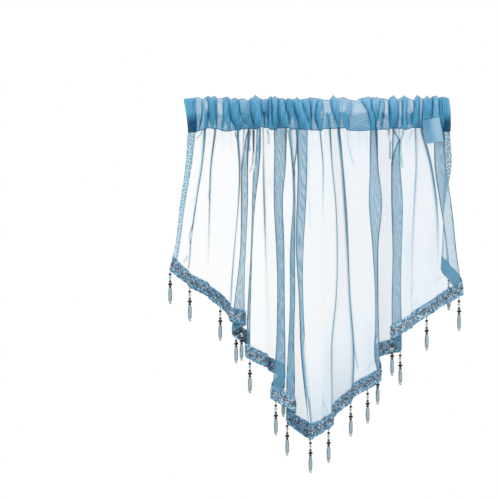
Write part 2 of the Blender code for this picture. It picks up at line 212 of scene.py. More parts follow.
# Where a fold's cloth looks other than the rest of it: left and right edges at some depths, density and tone
FoldPatch = namedtuple("FoldPatch", "folds downs lefts rights density tone", defaults=(1.0,))
FOLD_PATCHES = [FoldPatch(*row) for row in (
    ((4, 5), (50, 62, 100, 130), (-128, -128, -128, -128), (-113, -117, -122, -125.5), 0.06),
    ((5, 8), (50, 80, 110, 124), (-108.5, -108.5, -109, -109), (-100.2, -101, -102.8, -105.5), 0.06),
    ((20, 21), (50, 70), (110, 110), (136, 136), 0.16),
    ((20, 21), (69, 90, 112), (110, 110, 110), (127.5, 120, 116), 0.16),
    ((20, 21), (69, 90, 112), (129.5, 131, 134), (138, 138, 138), 0.16),
    ((11, 12), (50, 70, 90, 114), (-43.5, -42.5, -41, -39), (-30, -30, -30, -30), 0.12),
    ((12, 14), (381, 400, 437, 461, 477, 486), (-23.2, -24.3, -21.1, -19.5, -16.8, -15),
     (-21, -20, -16, -13, -11.5, -10.5), 0.10),
    ((18, 19), (384, 394, 410, 436), (91.5, 90.5, 90.5, 91), (92, 94.2, 95.2, 95.2), 0.25, 0.9),
    ((12, 15), (482, 501, 517, 531), (-20, -18.8, -17, -15.6), (-18.8, -16.4, -14.4, -13.2), 0.05),
    ((12, 14), (486, 501, 517, 532), (-14.6, -13.2, -11.8, -11.6), (-9, -8, -6.5, -5.5), 0.10),
)]
# The panel is shaded more near the braid: by how much at places along it, how far up and how fast it fades,
# and how much of it goes into the tone
LOW_SHADE_ALONG = (0, 210, 264, 380, 420, 470, 520, 560, 610, 680, 912)
LOW_SHADE = (0.0, 0.0, 0.07, 0.07, 0.20, 0.33, 0.30, 0.13, 0.10, 0.05, 0.06)
LOW_SHADE_TALL = 140.0
LOW_SHADE_POWER = 1.7
LOW_SHADE_IN_TONE = 0.3
# Faint painted shade in soft lines below the gathers: strength, reach, wave along the cloth, phase and even
# part
SHADE_UNDER_GATHERS = (0.09, 24.0, 13.0, 1.2, 1.6)
# Soft shades on single cloth: across, down, how wide and tall, and how much denser it is
SHADES = (
    (14, 420, 7, 55, 0.13),
    (80, 405, 10, 45, 0.12),
    (142, 250, 8, 45, 0.12),
    (142, 78, 8, 12, 0.06),
    (-9, 78, 14, 16, 0.07),
    (181, 245, 8, 40, 0.07),
    (-155, 66, 14, 16, 0.06),
    (-74, 133, 8, 18, 0.07),
    (-74, 181, 8, 18, -0.07),
    (150, 62, 24, 16, 0.07),
    (70, 62, 16, 14, 0.05),
)
# How dense the panel is: one layer of it, a pleat's reversed layer, the hem behind the braid, the side hems
SHEER_ALONG = (0, 230, 280, 420, 480, 620, 912)
SHEER = (0.05, 0.06, 0.10, 0.13, 0.17, 0.24, 0.24)
REVERSED_DENSITY = (0.64, 0.64)
PLEAT_DENSITIES = {
    "left pleat, right": (0.57, 0.58),
    "broad pleat, right": (0.67, 0.76),
    "slim pleat, right": (0.66, 0.87),
    "point pleat, right": (0.65, 0.59),
    "leaf pleat, right": (0.58, 0.58),
    "right pleat, right": (0.61, 0.61),
}
DENSITY_DOWN = (100, 380)
PLEAT_TONE = 0.5
MOST_DENSE = 0.97
HEM_DENSITY = 0.93
THIN_HEM_DENSITY = 0.3
HEM_TONE = 0.40
HEM_SOFT = 2.0
# The side hems, with an inner line and specks. They fade a little lower down.
SIDE_HEM_DOWN = (56, 120, 200)
SIDE_HEM_WIDE = (13.0, 10.5, 9.0)
SIDE_HEM_DENSITY = (0.80, 0.74, 0.66)
SIDE_HEM_TONE = 0.62
SIDE_HEM_SOFT = 0.4
SIDE_LINE = 0.95
SIDE_LINE_WIDTH = 1.1
SIDE_FADE_DOWN = (56, 190, 260, 300)
SIDE_FADE = (1.0, 1.0, 0.9, 0.7)
# The pleat whose two layers of weave cross and glitter, down to a depth
CROSSED_FOLD = 9
CROSSED_ABOVE = 178
CROSSED_SOFT = 20.0
CROSSED_SPECKLE = 0.8
# The last pleat is dense only inside a band that tapers to a point
END_PLEAT = 24
END_DENSITY = 0.40
END_TONE = 0.8
BAND_LEFT = ((56, 69, 190), (183, 184, 198))
BAND_RIGHT = ((56, 110, 146, 190), (207, 207, 207, 198))
# The moiré of a single layer, added to that of a pleat
SINGLE_MOIRE = 0.2
# The panel's mesh: its columns, and its rows, which are close together near its gathers
SKIRT_STEP = 1.15
SKIRT_LEAST_STEPS = 12
NEAR_ROWS = 44
NEAR_TALL = 75.0
FAR_ROWS = 76
SKIRT_TUCK = 4.5
# The cloth lies flatter at the seam, by this share and down to about this depth
PINCH = 0.75
PINCH_REACH = 8.0
# Gathers at the seam: wave along the cloth, height and phase. The wider ones reach further down.
GATHERS = ((8.5, 1.0, 0.3), (13.0, 0.9, 1.7), (21.0, 0.8, 4.1))
GATHER_REACH = 34.0
GATHER_WIDENING = 0.5
GATHER_DRIFT = 60.0
# Long soft waves: wave along the cloth, wave down it, height and phase. They end below the seam and above
# the braid.
UNDULATIONS = ((63.0, 210.0, 0.5, 0.4), (37.0, -330.0, 0.35, 2.2), (24.0, 900.0, 0.2, 0.9))
UNDULATION_TOP_FADE = 40.0
UNDULATION_LOW_FADE = 30.0


def toward(value, target, share):
    """A value moved by a share of the way to a target."""
    return value + (target - value) * share


def bell(off, width):
    """1 in the middle, falling smoothly to 0 on both sides."""
    return np.exp(-((off / width) ** 2))


def soft_step(x):
    """From 0 to 1 as x goes from well below 0 to well above it."""
    return 1 / (1 + np.exp(-np.clip(x, -60, 60)))


def wave_of(x, wave, phase=0.0):
    return np.sin(2 * math.pi * x / wave + phase)


def stretch_at(places, at):
    """The stretch of a table that each place lies in, its length and the share of the way along it."""
    left = np.clip(np.searchsorted(places, at) - 1, 0, len(places) - 2)
    step = places[left + 1] - places[left]
    return left, step, np.clip((at - places[left]) / step, 0, 1)


def eased(t, step, low, high, low_slope, high_slope):
    """A smooth curve's value between two points of a table."""
    rise = t * t * (3 - 2 * t)
    curve = t * (1 - t) ** 2 * low_slope * step - t * t * (1 - t) * high_slope * step
    return low * (1 - rise) + high * rise + curve


def smooth_at(places, values, at):
    """Values on a smooth curve through the table's points."""
    slopes = np.gradient(values, places)
    left, step, t = stretch_at(places, at)
    return eased(t, step, values[left], values[left + 1], slopes[left], slopes[left + 1])


def braid_down(along):
    """How far down the braid's middle line lies."""
    along = np.asarray(along, float)
    straight = CORNER_DOWN + EDGE_SLOPE * (POINT_ALONG - abs(along - POINT_ALONG))
    return straight - smooth_at(EDGE_PLACES, EDGE_RISES, along)


def fold_across(fold, down):
    """How far across a fold lies at a depth."""
    left, step, t = stretch_at(DOWN, down)
    slopes = ACROSS_SLOPES[fold, left], ACROSS_SLOPES[fold, left + 1]
    return eased(t, step, ACROSS[fold, left], ACROSS[fold, left + 1], *slopes)


def cloth_point(fold, share, down):
    """The middle of the cloth: across and proud, at a column (fold, share of the way to the next)."""
    fold, share, down = np.broadcast_arrays(fold, share, down)
    here, following = fold_across(fold, down), fold_across(fold + 1, down)
    is_first = share <= 0.5
    edge = np.where(is_first, here, following)
    bend = np.where(is_first, 2 * share, 2 - 2 * share)
    level = LEVEL[fold]
    start = np.where(is_first, START[fold], START[fold + 1])
    across = 3 * (1 - bend) * bend**2 * (1 - FOLD_SQUARE_ACROSS) + bend**3
    proud = 3 * (1 - bend) ** 2 * bend * FOLD_SQUARE_PROUD + 3 * (1 - bend) * bend**2 + bend**3
    deep = np.interp(down, DEEP_DOWN, DEEP_SHARE)
    return edge + ((here + following) / 2 - edge) * across, deep * (start + (level - start) * proud)


def facing(fold, share, down):
    """The direction that the cloth's front faces, across and proud."""
    before = cloth_point(fold, np.maximum(share - FACING_STEP, 0), down)
    after = cloth_point(fold, np.minimum(share + FACING_STEP, 1), down)
    run_across, run_proud = after[0] - before[0], after[1] - before[1]
    length = np.hypot(run_across, run_proud)
    return -run_proud / length, run_across / length


def walk_table():
    """Where each fold's shares lie on the flat cloth, by its length at the lower edge."""
    shares = np.linspace(0, 1, WALK_POINTS)
    table = []
    for fold, (start, end) in enumerate(FOLD_SPANS):
        across, proud = cloth_point(fold, shares, float(braid_down((start + end) / 2)))
        length = np.concatenate([[0], np.cumsum(np.hypot(np.diff(across), np.diff(proud)))])
        table.append(start + (end - start) * length / length[-1])
    return shares, table


SHARES, WALKS = walk_table()


def column_at(along):
    """The fold and share at places on the flat cloth."""
    along = np.atleast_1d(np.asarray(along, float))
    fold = np.clip(np.searchsorted(FOLD_ALONG, along, side="right") - 1, 0, len(FOLDS) - 2)
    share = np.array([np.interp(a, WALKS[f], SHARES) for a, f in zip(along, fold)])
    return fold, share


def columns(step, least):
    """Every column of the cloth, closer together than its solid's."""
    folds, shares, alongs = [], [], []
    for fold, (start, end) in enumerate(FOLD_SPANS):
        count = max(least, round((end - start) / step))
        even = np.arange(count) / count
        share = (even + np.interp(start + (end - start) * even, WALKS[fold], SHARES)) / 2
        folds += [fold] * count
        shares.append(share)
        alongs.append(np.interp(share, SHARES, WALKS[fold]))
    folds.append(len(FOLDS) - 2)
    return np.array(folds), np.concatenate([*shares, [1.0]]), np.concatenate([*alongs, FOLD_ALONG[-1:]])


def pocket_bottom(across):
    """How far down the gathered seam lies."""
    wander = SEAM_WANDER * (np.sin(across / SEAM_WAVE) - np.cos(across / SEAM_RIPPLE))
    return POCKET_TALL + wander + POCKET_END_FALL * abs(across / POCKET_HALF_WIDTH) ** POCKET_END_POWER


def placed(across, proud, down):
    return np.stack([across * MM, -proud * MM, -down * MM], axis=-1)


def grid_mesh(name, points, closed_columns=False):
    """A mesh of quads through a grid of points."""
    count, width = points.shape[:2]
    index = np.arange(count * width).reshape(count, width)
    if closed_columns:
        index = np.concatenate([index, index[:, :1]], axis=1)
    faces = np.stack([index[:-1, :-1], index[:-1, 1:], index[1:, 1:], index[1:, :-1]], axis=-1)
    mesh = bpy.data.meshes.new(name)
    mesh.from_pydata(points.reshape(-1, 3).tolist(), [], faces.reshape(-1, 4).tolist())
    mesh.shade_smooth()
    return mesh


def set_values(mesh, **named):
    for name, values in named.items():
        attribute = mesh.attributes.new(name, "FLOAT", "POINT")
        attribute.data.foreach_set("value", np.asarray(values, np.float32).ravel())


def set_uv(mesh, u, v):
    """A UV map in metres along and down the cloth."""
    layer = mesh.uv_layers.new(name="cloth")
    corners = np.zeros(len(mesh.loops), np.int32)
    mesh.loops.foreach_get("vertex_index", corners)
    pairs = np.stack([np.ravel(u)[corners], np.ravel(v)[corners]], axis=-1)
    layer.data.foreach_set("uv", pairs.astype(np.float32).ravel())


def shown(name, mesh, *materials):
    made = bpy.data.objects.new(name, mesh)
    bpy.context.scene.collection.objects.link(made)
    for each in materials:
        mesh.materials.append(each)
    return made


def distance_to(places, across, down):
    """How far points are from a line through places."""
    best = np.full(across.shape, 1e9)
    for (x0, z0), (x1, z1) in zip(places, places[1:]):
        dx, dz = x1 - x0, z1 - z0
        t = np.clip(((across - x0) * dx + (down - z0) * dz) / (dx * dx + dz * dz), 0, 1)
        best = np.minimum(best, np.hypot(across - x0 - t * dx, down - z0 - t * dz))
    return best


def nodes_of(name):
    made = bpy.data.materials.new(name)
    made.use_nodes = True
    tree = made.node_tree
    return made, tree, tree.nodes["Principled BSDF"]


def add(tree, kind, **settings):
    node = tree.nodes.new(kind)
    for key, value in settings.items():
        setattr(node, key, value)
    return node


def value_of(tree, name):
    return add(tree, "ShaderNodeAttribute", attribute_name=name).outputs["Fac"]


def calc(tree, operation, *values):
    """A Math node's result."""
    node = add(tree, "ShaderNodeMath", operation=operation)
    for socket, value in zip(node.inputs, values):
        if isinstance(value, bpy.types.NodeSocket):
            tree.links.new(value, socket)
        else:
            socket.default_value = value
    return node.outputs[0]


def limited(tree, value):
    """A value kept between 0 and 1."""
    return calc(tree, "MINIMUM", calc(tree, "MAXIMUM", value, 0.0), 1.0)


def texture(tree, kind, output, vector, scale, settings):
    """A texture's value. A number among the settings sets one of its sockets, the rest set the node."""
    node = add(tree, kind)
    node.inputs["Scale"].default_value = scale
    for key, value in settings.items():
        if isinstance(value, float):
            node.inputs[key].default_value = value
        else:
            setattr(node, key, value)
    tree.links.new(vector, node.inputs["Vector"])
    return node.outputs[output]


def noise_of(tree, vector, scale, **settings):
    return texture(tree, "ShaderNodeTexNoise", "Fac", vector, scale, settings)


def cells_of(tree, vector, scale, **settings):
    return texture(tree, "ShaderNodeTexVoronoi", "Color", vector, scale, settings)


def scaled(tree, vector, scale):
    """A place stretched along its axes."""
    node = add(tree, "ShaderNodeMapping")
    node.inputs["Scale"].default_value = scale
    tree.links.new(vector, node.inputs["Vector"])
    return node.outputs[0]


def place_of(tree, on_cloth):
    """A place on the cloth, or in the object's own space."""
    if on_cloth:
        return add(tree, "ShaderNodeUVMap", uv_map="cloth").outputs[0]
    return add(tree, "ShaderNodeTexCoord").outputs["Object"]


def split_of(tree, vector):
    node = add(tree, "ShaderNodeSeparateXYZ")
    tree.links.new(vector, node.inputs[0])
    return node.outputs


def surface(tree, shader, share, colours, bump, **values):
    """Evenly spaced colours by a share, a bump (height, strength, distance) and the shader's own values."""
    ramp = add(tree, "ShaderNodeValToRGB")
    stops = ramp.color_ramp.elements
    stops[0].color = (*colours[0], 1.0)
    stops[1].color = (*colours[-1], 1.0)
    for number, colour in enumerate(colours[1:-1], 1):
        stops.new(number / (len(colours) - 1)).color = (*colour, 1.0)
    tree.links.new(share, ramp.inputs["Fac"])
    tree.links.new(ramp.outputs["Color"], shader.inputs["Base Color"])
    if bump:
        height, strength, distance = bump
        node = add(tree, "ShaderNodeBump")
        node.inputs["Strength"].default_value = strength
        node.inputs["Distance"].default_value = distance
        tree.links.new(height, node.inputs["Height"])
        tree.links.new(node.outputs[0], shader.inputs["Normal"])
    for key, value in values.items():
        shader.inputs[key.replace("_", " ")].default_value = value


FINE_BUMP = 0.0003
# The voile's weave and moiré, in metres: how the moiré's rings lean, bow beside a fold and drift at random
THREAD_WAVE = 0.0011
PICK_WAVE = 0.0012
WEAVE_STRENGTH = 0.04
WEAVE_BUMP = (0.25, FINE_BUMP)
RING_WAVE = 0.0046
RING_LEAN = 38.0
RING_BOW = 0.9
RING_DRIFT = 3.2
DRIFT_SCALE = 110.0
DRIFT_STRETCH = (1.0, 0.12, 1.0)
# How much of the moiré and of the specks goes into the density and into the tone
RINGS_IN_DENSITY = 0.18
RINGS_IN_TONE = -0.09
SPECK_STRENGTH = 5.0
SPECKS_IN_TONE = -0.35


def voile_material(name, colours, speck_scale):
    """Sheer cloth: its thickness and shade are painted on the mesh, its weave and moiré are nodes."""
    made, tree, shader = nodes_of(name)
    place = place_of(tree, on_cloth=True)
    drift = noise_of(tree, scaled(tree, place, DRIFT_STRETCH), DRIFT_SCALE, noise_dimensions="2D")
    grains = noise_of(tree, place, speck_scale, noise_dimensions="2D")
    across, down, _ = split_of(tree, place)
    turns = calc(tree, "MULTIPLY", value_of(tree, "ply"), RING_BOW)
    for value, factor in ((down, RING_LEAN), (drift, RING_DRIFT), (across, 1 / RING_WAVE)):
        turns = calc(tree, "MULTIPLY_ADD", value, factor, turns)
    rings = calc(tree, "SINE", calc(tree, "MULTIPLY", turns, 2 * math.pi))
    threads = calc(tree, "SINE", calc(tree, "MULTIPLY", across, 2 * math.pi / THREAD_WAVE))
    picks = calc(tree, "SINE", calc(tree, "MULTIPLY", down, 2 * math.pi / PICK_WAVE))
    weave = calc(tree, "MULTIPLY", calc(tree, "ADD", threads, picks), WEAVE_STRENGTH)
    specks = calc(tree, "MULTIPLY", calc(tree, "SUBTRACT", grains, 0.5), SPECK_STRENGTH)
    specks = calc(tree, "MULTIPLY", specks, value_of(tree, "speckle"))
    watered = calc(tree, "MULTIPLY", rings, value_of(tree, "moire"))
    waves = calc(tree, "MULTIPLY_ADD", watered, RINGS_IN_DENSITY, specks)
    factor = calc(tree, "ADD", calc(tree, "ADD", 1.0, waves), weave)
    density = calc(tree, "MULTIPLY", value_of(tree, "opacity"), factor)
    tree.links.new(limited(tree, density), shader.inputs["Alpha"])
    tone = calc(tree, "MULTIPLY_ADD", specks, SPECKS_IN_TONE, value_of(tree, "tone"))
    tone = calc(tree, "MULTIPLY_ADD", watered, RINGS_IN_TONE, tone)
    surface(tree, shader, tone, colours, (weave, *WEAVE_BUMP), Roughness=0.6, Specular_IOR_Level=0.15,
            Sheen_Weight=0.05, Sheen_Roughness=0.4)
    return made


def plain_material(name, low, high, roughness, metallic=0.0, grain=600.0, coat=0.0, bump_by=0.2):
    """A surface whose colour varies a little from place to place."""
    made, tree, shader = nodes_of(name)
    noise = noise_of(tree, place_of(tree, on_cloth=False), grain)
    surface(tree, shader, noise, (low, high), (noise, bump_by, FINE_BUMP), Roughness=roughness,
            Metallic=metallic, Coat_Weight=coat)
    return made


class Paint:
    """The density and tone of cloth at each point of its mesh, laid on in coats."""

    def __init__(self, density, tone):
        self.density = density
        self.tone = tone

    def lay(self, share, density=None, tone=None):
        """One coat: a share of the way to a density, a tone or both."""
        if density is not None:
            self.density = toward(self.density, density, share)
        if tone is not None:
            self.tone = toward(self.tone, tone, share)

    def add_density(self, amount):
        self.density = self.density + amount

    def add_tone(self, amount):
        self.tone = self.tone + amount

    def values(self):
        return {"opacity": np.clip(self.density, 0, MOST_DENSE), "tone": np.clip(self.tone, 0, 1)}


PATCH_SOFT = 1.0


def inside(patch, across, down):
    """How far inside a patch points are, from 0 outside to 1 well inside."""
    left = across - np.interp(down, patch.downs, patch.lefts)
    right = np.interp(down, patch.downs, patch.rights) - across
    above, below = down - patch.downs[0], patch.downs[-1] - down
    edge = np.minimum(np.minimum(left, right), np.minimum(above, below))
    return np.clip(edge / PATCH_SOFT + 0.5, 0, 1)


def undulations(along, down):
    """Long soft waves of the hanging cloth, proud in millimetres."""
    return sum(
        height * np.sin(2 * math.pi * (along / wave + down / slant) + phase)
        for wave, slant, height, phase in UNDULATIONS
    )


def gathers(along, depth):
    """Fine gathers that the seam holds and that fade below it."""
    total = 0.0
    for number, (wave, height, phase) in enumerate(GATHERS):
        fade = bell(depth, GATHER_REACH * (1 + GATHER_WIDENING * number))
        total = total + fade * height * wave_of(along, wave, phase + depth / GATHER_DRIFT)
    return total


def line_strength(values, down):
    return np.interp(down, LINE_DOWN, np.broadcast_to(values, len(LINE_DOWN)))


def fold_lines(fold, across, down):
    """How strong the soft lines of the folds are at each point, their dark cores, and the painted shade
    around them.
    """
    soft, core, near_fold_shade = (np.zeros(across.shape) for _ in range(3))
    for number, each in enumerate(FOLDS):
        line = LINES.get(each.name, PLEAT_LINE)
        off = across - fold_across(np.full(across.shape, number), down)
        near = (fold == number) | (fold == number - 1)
        strength = near * line_strength(line.core, down)
        soft += near * line_strength(line.soft, down) * bell(off - line.shift, line.width)
        core += strength * bell(off, CORE_WIDTH)
        near_fold_shade = np.maximum(near_fold_shade, strength * np.exp(-abs(off) / FOLD_SHADE_REACH))
    return soft, core, near_fold_shade


def skirt_paint(fold, along, across, down, depth, shade):
    """The panel's paint at each point. The shade given is that of its short creases."""
    is_reversed = IS_REVERSED[fold]
    single = 1 - is_reversed
    dense = np.array([PLEAT_DENSITIES.get(each.name, REVERSED_DENSITY) for each in FOLDS])
    low = np.clip((down - DENSITY_DOWN[0]) / (DENSITY_DOWN[1] - DENSITY_DOWN[0]), 0, 1)
    pleat_density = toward(dense[fold, 0], dense[fold, 1], low)
    sheer = np.interp(along, SHEER_ALONG, SHEER)
    paint = Paint(np.where(is_reversed, pleat_density, sheer), np.where(is_reversed, PLEAT_TONE, 1.0))
    from_left, to_right = across - np.interp(down, *BAND_LEFT), np.interp(down, *BAND_RIGHT) - across
    beside_band = 1 - soft_step(np.minimum(from_left, to_right))
    paint.lay((fold >= END_PLEAT) * is_reversed * beside_band, END_DENSITY, END_TONE)

    soft, core, near_fold_shade = fold_lines(fold, across, down)
    core = core + shade
    # Painted shade beside each fold makes the single cloth denser
    paint.add_density(np.interp(down, FOLD_SHADE_DOWN, FOLD_SHADE) * near_fold_shade * single)
    # Painted shade in soft lines below the gathers
    strength, reach, wave, phase, even = SHADE_UNDER_GATHERS
    soft = soft + strength * np.exp(-depth / reach) * (even + wave_of(along, wave, phase))
    braid_top = braid_down(along) - BRAID_TALL / 2
    close = np.clip((down - braid_top) / LOW_SHADE_TALL + 1, 0, 1)
    low_shade = np.interp(along, LOW_SHADE_ALONG, LOW_SHADE) * close**LOW_SHADE_POWER * single
    paint.add_density(low_shade)
    paint.add_tone(-LOW_SHADE_IN_TONE * low_shade)
    for at_across, at_down, wide, tall, amount in SHADES:
        paint.add_density(amount * bell(across - at_across, wide) * bell(down - at_down, tall) * single)

    side = np.minimum(along, FOLD_ALONG[-1] - along)
    side_fade = np.interp(down, SIDE_FADE_DOWN, SIDE_FADE)
    hem_wide = np.interp(down, SIDE_HEM_DOWN, SIDE_HEM_WIDE)
    in_side = side_fade * soft_step((hem_wide - side) / SIDE_HEM_SOFT)
    paint.lay(in_side, np.interp(down, SIDE_HEM_DOWN, SIDE_HEM_DENSITY), SIDE_HEM_TONE)
    core = core + SIDE_LINE * side_fade * bell(side - hem_wide, SIDE_LINE_WIDTH)
    paint.lay(np.clip(soft + core, 0, 1), density=LINE_DENSITY)
    paint.lay(np.clip(soft, 0, 1), tone=LINE_TONE)
    paint.lay(np.clip(CORE_DARK * core, 0, 1), tone=0.0)
    for patch in FOLD_PATCHES:
        on_fold = (fold >= patch.folds[0]) & (fold < patch.folds[1])
        beside_creases = 1 - np.clip(shade, 0, 1)
        paint.lay(on_fold * inside(patch, across, down) * beside_creases, patch.density, patch.tone)

    in_hem = np.clip((down - braid_top - np.interp(along, UPPER_PLACES, UPPER_PULL)) / HEM_SOFT + 0.5, 0, 1)
    is_thin = is_reversed & ~np.isin(fold, SMOOTH_BACKS)
    paint.lay(in_hem, np.where(is_thin, THIN_HEM_DENSITY, HEM_DENSITY), HEM_TONE)
    crossed = (fold == CROSSED_FOLD) * np.clip((CROSSED_ABOVE - down) / CROSSED_SOFT, 0, 1)
    values = paint.values()
    values["moire"] = (is_reversed + SINGLE_MOIRE) * (1 - in_hem) * (1 - in_side)
    values["speckle"] = (in_side + CROSSED_SPECKLE * crossed) * (1 - in_hem)
    return values


def skirt():
    """The panel, one thin sheet in its solid's folds, with gathers and short creases of its own."""
    fold, share, along = columns(SKIRT_STEP, SKIRT_LEAST_STEPS)
    top = pocket_bottom(cloth_point(fold, share, DOWN[0])[0]) - SKIRT_TUCK
    bottom = braid_down(along) + HEM_BELOW_BRAID_LINE
    near_rows = top[:, None] + NEAR_TALL * np.linspace(0, 1, NEAR_ROWS)
    far_rows = toward(near_rows[:, -1:], bottom[:, None], np.linspace(0, 1, FAR_ROWS + 1)[1:])
    down = np.concatenate([near_rows, far_rows], axis=1)
    fold, share, along = (x[:, None] + np.zeros(down.shape, x.dtype) for x in (fold, share, along))
    across, proud = cloth_point(fold, share, down)
    out_across, out_proud = facing(fold, share, down)
    depth = down - top[:, None]
    free = np.clip((braid_down(along) - BRAID_TALL / 2 - down) / UNDULATION_LOW_FADE, 0, 1)
    free = free * np.clip(depth / UNDULATION_TOP_FADE, 0, 1)
    push = gathers(along, depth) + free * undulations(along, down)
    shade = np.zeros(across.shape)
    for ridge in RIDGES:
        near = (fold >= ridge.folds[0]) & (fold < ridge.folds[1])
        bump = near * bell(distance_to(ridge.places, across, down), ridge.width)
        push = push + ridge.height * bump
        shade += ridge.shade * bump
    pinch = 1 - PINCH * bell(depth, PINCH_REACH)
    mesh = grid_mesh("skirt", placed(across + push * out_across, (proud + push * out_proud) * pinch, down))
    set_values(mesh, **skirt_paint(fold, along, across, down, depth, shade), ply=abs(2 * share - 1))
    set_uv(mesh, along * MM, down * MM)
    colours = ((0.045, 0.10, 0.145), (0.055, 0.31, 0.47), (0.28, 0.43, 0.56))
    made = shown("skirt_cloth", mesh, voile_material("voile", colours, speck_scale=540.0))
    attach(made, "root")
    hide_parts("skirt")
    return made


# The pocket's creases, each at four depths. After each crease comes a pleat: its tone at its top left, top
# right, low left and low right, darker on one side as painted shading of the pleat, how dense it is at its
# top and low down, and how dark the crease's own line is there.
CREASE_DOWN = np.array((4.0, 18.0, 34.0, 50.0))
POCKET_CREASES = np.array((
    (-216, -213.6, -211.2, -209.6, 0.47, 0.47, 0.4, 0.4, 0.85, 0.9, 0.3, 0.3),
    (-199.5, -198.4, -196, -194.7, 0.75, 0.75, 0.55, 0.5, 0.5, 0.7, 0.6, 0.6),
    (-187.2, -187.2, -188, -191.2, 0.55, 0.6, 0.5, 0.4, 0.65, 0.85, 0.7, 0.9),
    (-178.4, -176.8, -176, -177.6, 0.44, 0.46, 0.34, 0.38, 0.9, 0.9, 0.7, 0.5),
    (-163.2, -163.2, -163.2, -164, 0.75, 0.75, 0.7, 0.65, 0.5, 0.6, 0.4, 0.6),
    (-153.6, -153.6, -152.8, -155.2, 0.55, 0.5, 0.45, 0.5, 0.85, 0.85, 0.6, 0.7),
    (-144, -143.2, -141.5, -133.6, 0.52, 0.5, 0.2, 0.48, 0.88, 0.92, 0.3, 0.6),
    (-128, -127.2, -122.4, -115.2, 0.62, 0.6, 0.35, 0.3, 0.7, 0.85, 0.7, 0.8),
    (-111.2, -110.4, -108, -103.2, 0.4, 0.62, 0.2, 0.6, 0.9, 0.94, 0.8, 0.7),
    (-92.8, -92, -89.1, -87.2, 0.5, 0.42, 0.15, 0.3, 0.8, 0.92, 0.5, 0.8),
    (-81.6, -80, -80.8, -81.6, 0.42, 0.55, 0.4, 0.55, 0.9, 0.9, 0.8, 0.4),
    (-76, -75.7, -75.5, -72.8, 0.52, 0.65, 0.4, 0.2, 0.9, 0.92, 0.5, 0.4),
    (-65.6, -65.6, -65.1, -62.4, 0.5, 0.62, 0.2, 0.6, 0.9, 0.92, 0.8, 0.5),
    (-55.2, -52.8, -48.8, -46.4, 0.3, 0.5, 0.35, 0.6, 0.9, 0.75, 0.9, 0.5),
    (-41.6, -40, -35.7, -32.8, 0.5, 0.6, 0.2, 0.62, 0.9, 0.92, 0.7, 0.8),
    (-26.4, -24, -18.1, -13.9, 0.45, 0.65, 0.4, 0.4, 0.9, 0.9, 0.8, 0.8),
    (-15.2, -13.3, -12.3, -11.7, 0.62, 0.58, 0.5, 0.5, 0.85, 0.75, 0.8, 0.8),
    (-1.6, -4.8, -6.4, -0.8, 0.6, 0.6, 0.3, 0.5, 0.85, 0.9, 0.3, 0.6),
    (6.4, 6.9, 6.4, 4.8, 0.8, 0.75, 0.6, 0.6, 0.5, 0.6, 0.2, 0.2),
    (18.4, 19.7, 24.5, 30.4, 0.5, 0.78, 0.38, 0.33, 0.85, 0.92, 0.9, 0.8),
    (31.2, 30.9, 32.5, 34.1, 0.65, 0.65, 0.55, 0.55, 0.6, 0.75, 0.1, 0.6),
    (52, 51.7, 48, 48, 0.75, 0.75, 0.62, 0.6, 0.55, 0.65, 0.2, 0.3),
    (67.2, 75.2, 80.5, 82.7, 0.6, 0.66, 0.42, 0.38, 0.9, 0.93, 0.7, 0.5),
    (84, 84.2, 89.6, 90.1, 0.62, 0.74, 0.3, 0.35, 0.9, 0.93, 0.6, 0.9),
    (96.3, 95.2, 92.3, 91.5, 0.68, 0.6, 0.5, 0.42, 0.7, 0.8, 0.7, 0.3),
    (103.2, 104, 102.4, 100.3, 0.7, 0.75, 0.6, 0.6, 0.55, 0.65, 0.2, 0.7),
    (111.2, 111.5, 112.3, 113.6, 0.58, 0.65, 0.28, 0.3, 0.9, 0.94, 0.7, 0.6),
    (126.9, 127.2, 126.7, 126.4, 0.7, 0.7, 0.6, 0.6, 0.6, 0.7, 0.2, 0.2),
    (132.8, 132.3, 132.3, 132.8, 0.6, 0.6, 0.5, 0.5, 0.88, 0.9, 0.2, 0.2),
    (140.8, 140.5, 139.7, 140.8, 0.7, 0.7, 0.5, 0.5, 0.6, 0.8, 0.6, 0.5),
    (151.2, 151.2, 147.2, 147.2, 0.55, 0.45, 0.48, 0.3, 0.88, 0.9, 0.4, 0.3),
    (160.5, 160.8, 160, 161.6, 0.8, 0.8, 0.6, 0.5, 0.5, 0.6, 0.6, 0.8),
    (165.9, 164.8, 164, 164.3, 0.58, 0.45, 0.3, 0.3, 0.9, 0.93, 0.9, 0.9),
    (181.6, 180.8, 180, 180, 0.62, 0.62, 0.55, 0.6, 0.9, 0.9, 0.8, 0.8),
    (191.2, 191.7, 192, 193.6, 0.42, 0.4, 0.3, 0.3, 0.9, 0.93, 0.6, 0.6),
    (195.7, 195.7, 195.7, 196, 0.5, 0.47, 0.4, 0.4, 0.85, 0.9, 0.6, 0.6),
    (208, 209.6, 210.4, 210.4, 0.5, 0.5, 0.4, 0.4, 0.85, 0.9, 0.3, 0.3),
))
CREASE_ACROSS, CREASE_SHADES, CREASE_DENSITIES, CREASE_LINES = np.split(POCKET_CREASES, (4, 8, 10), axis=1)
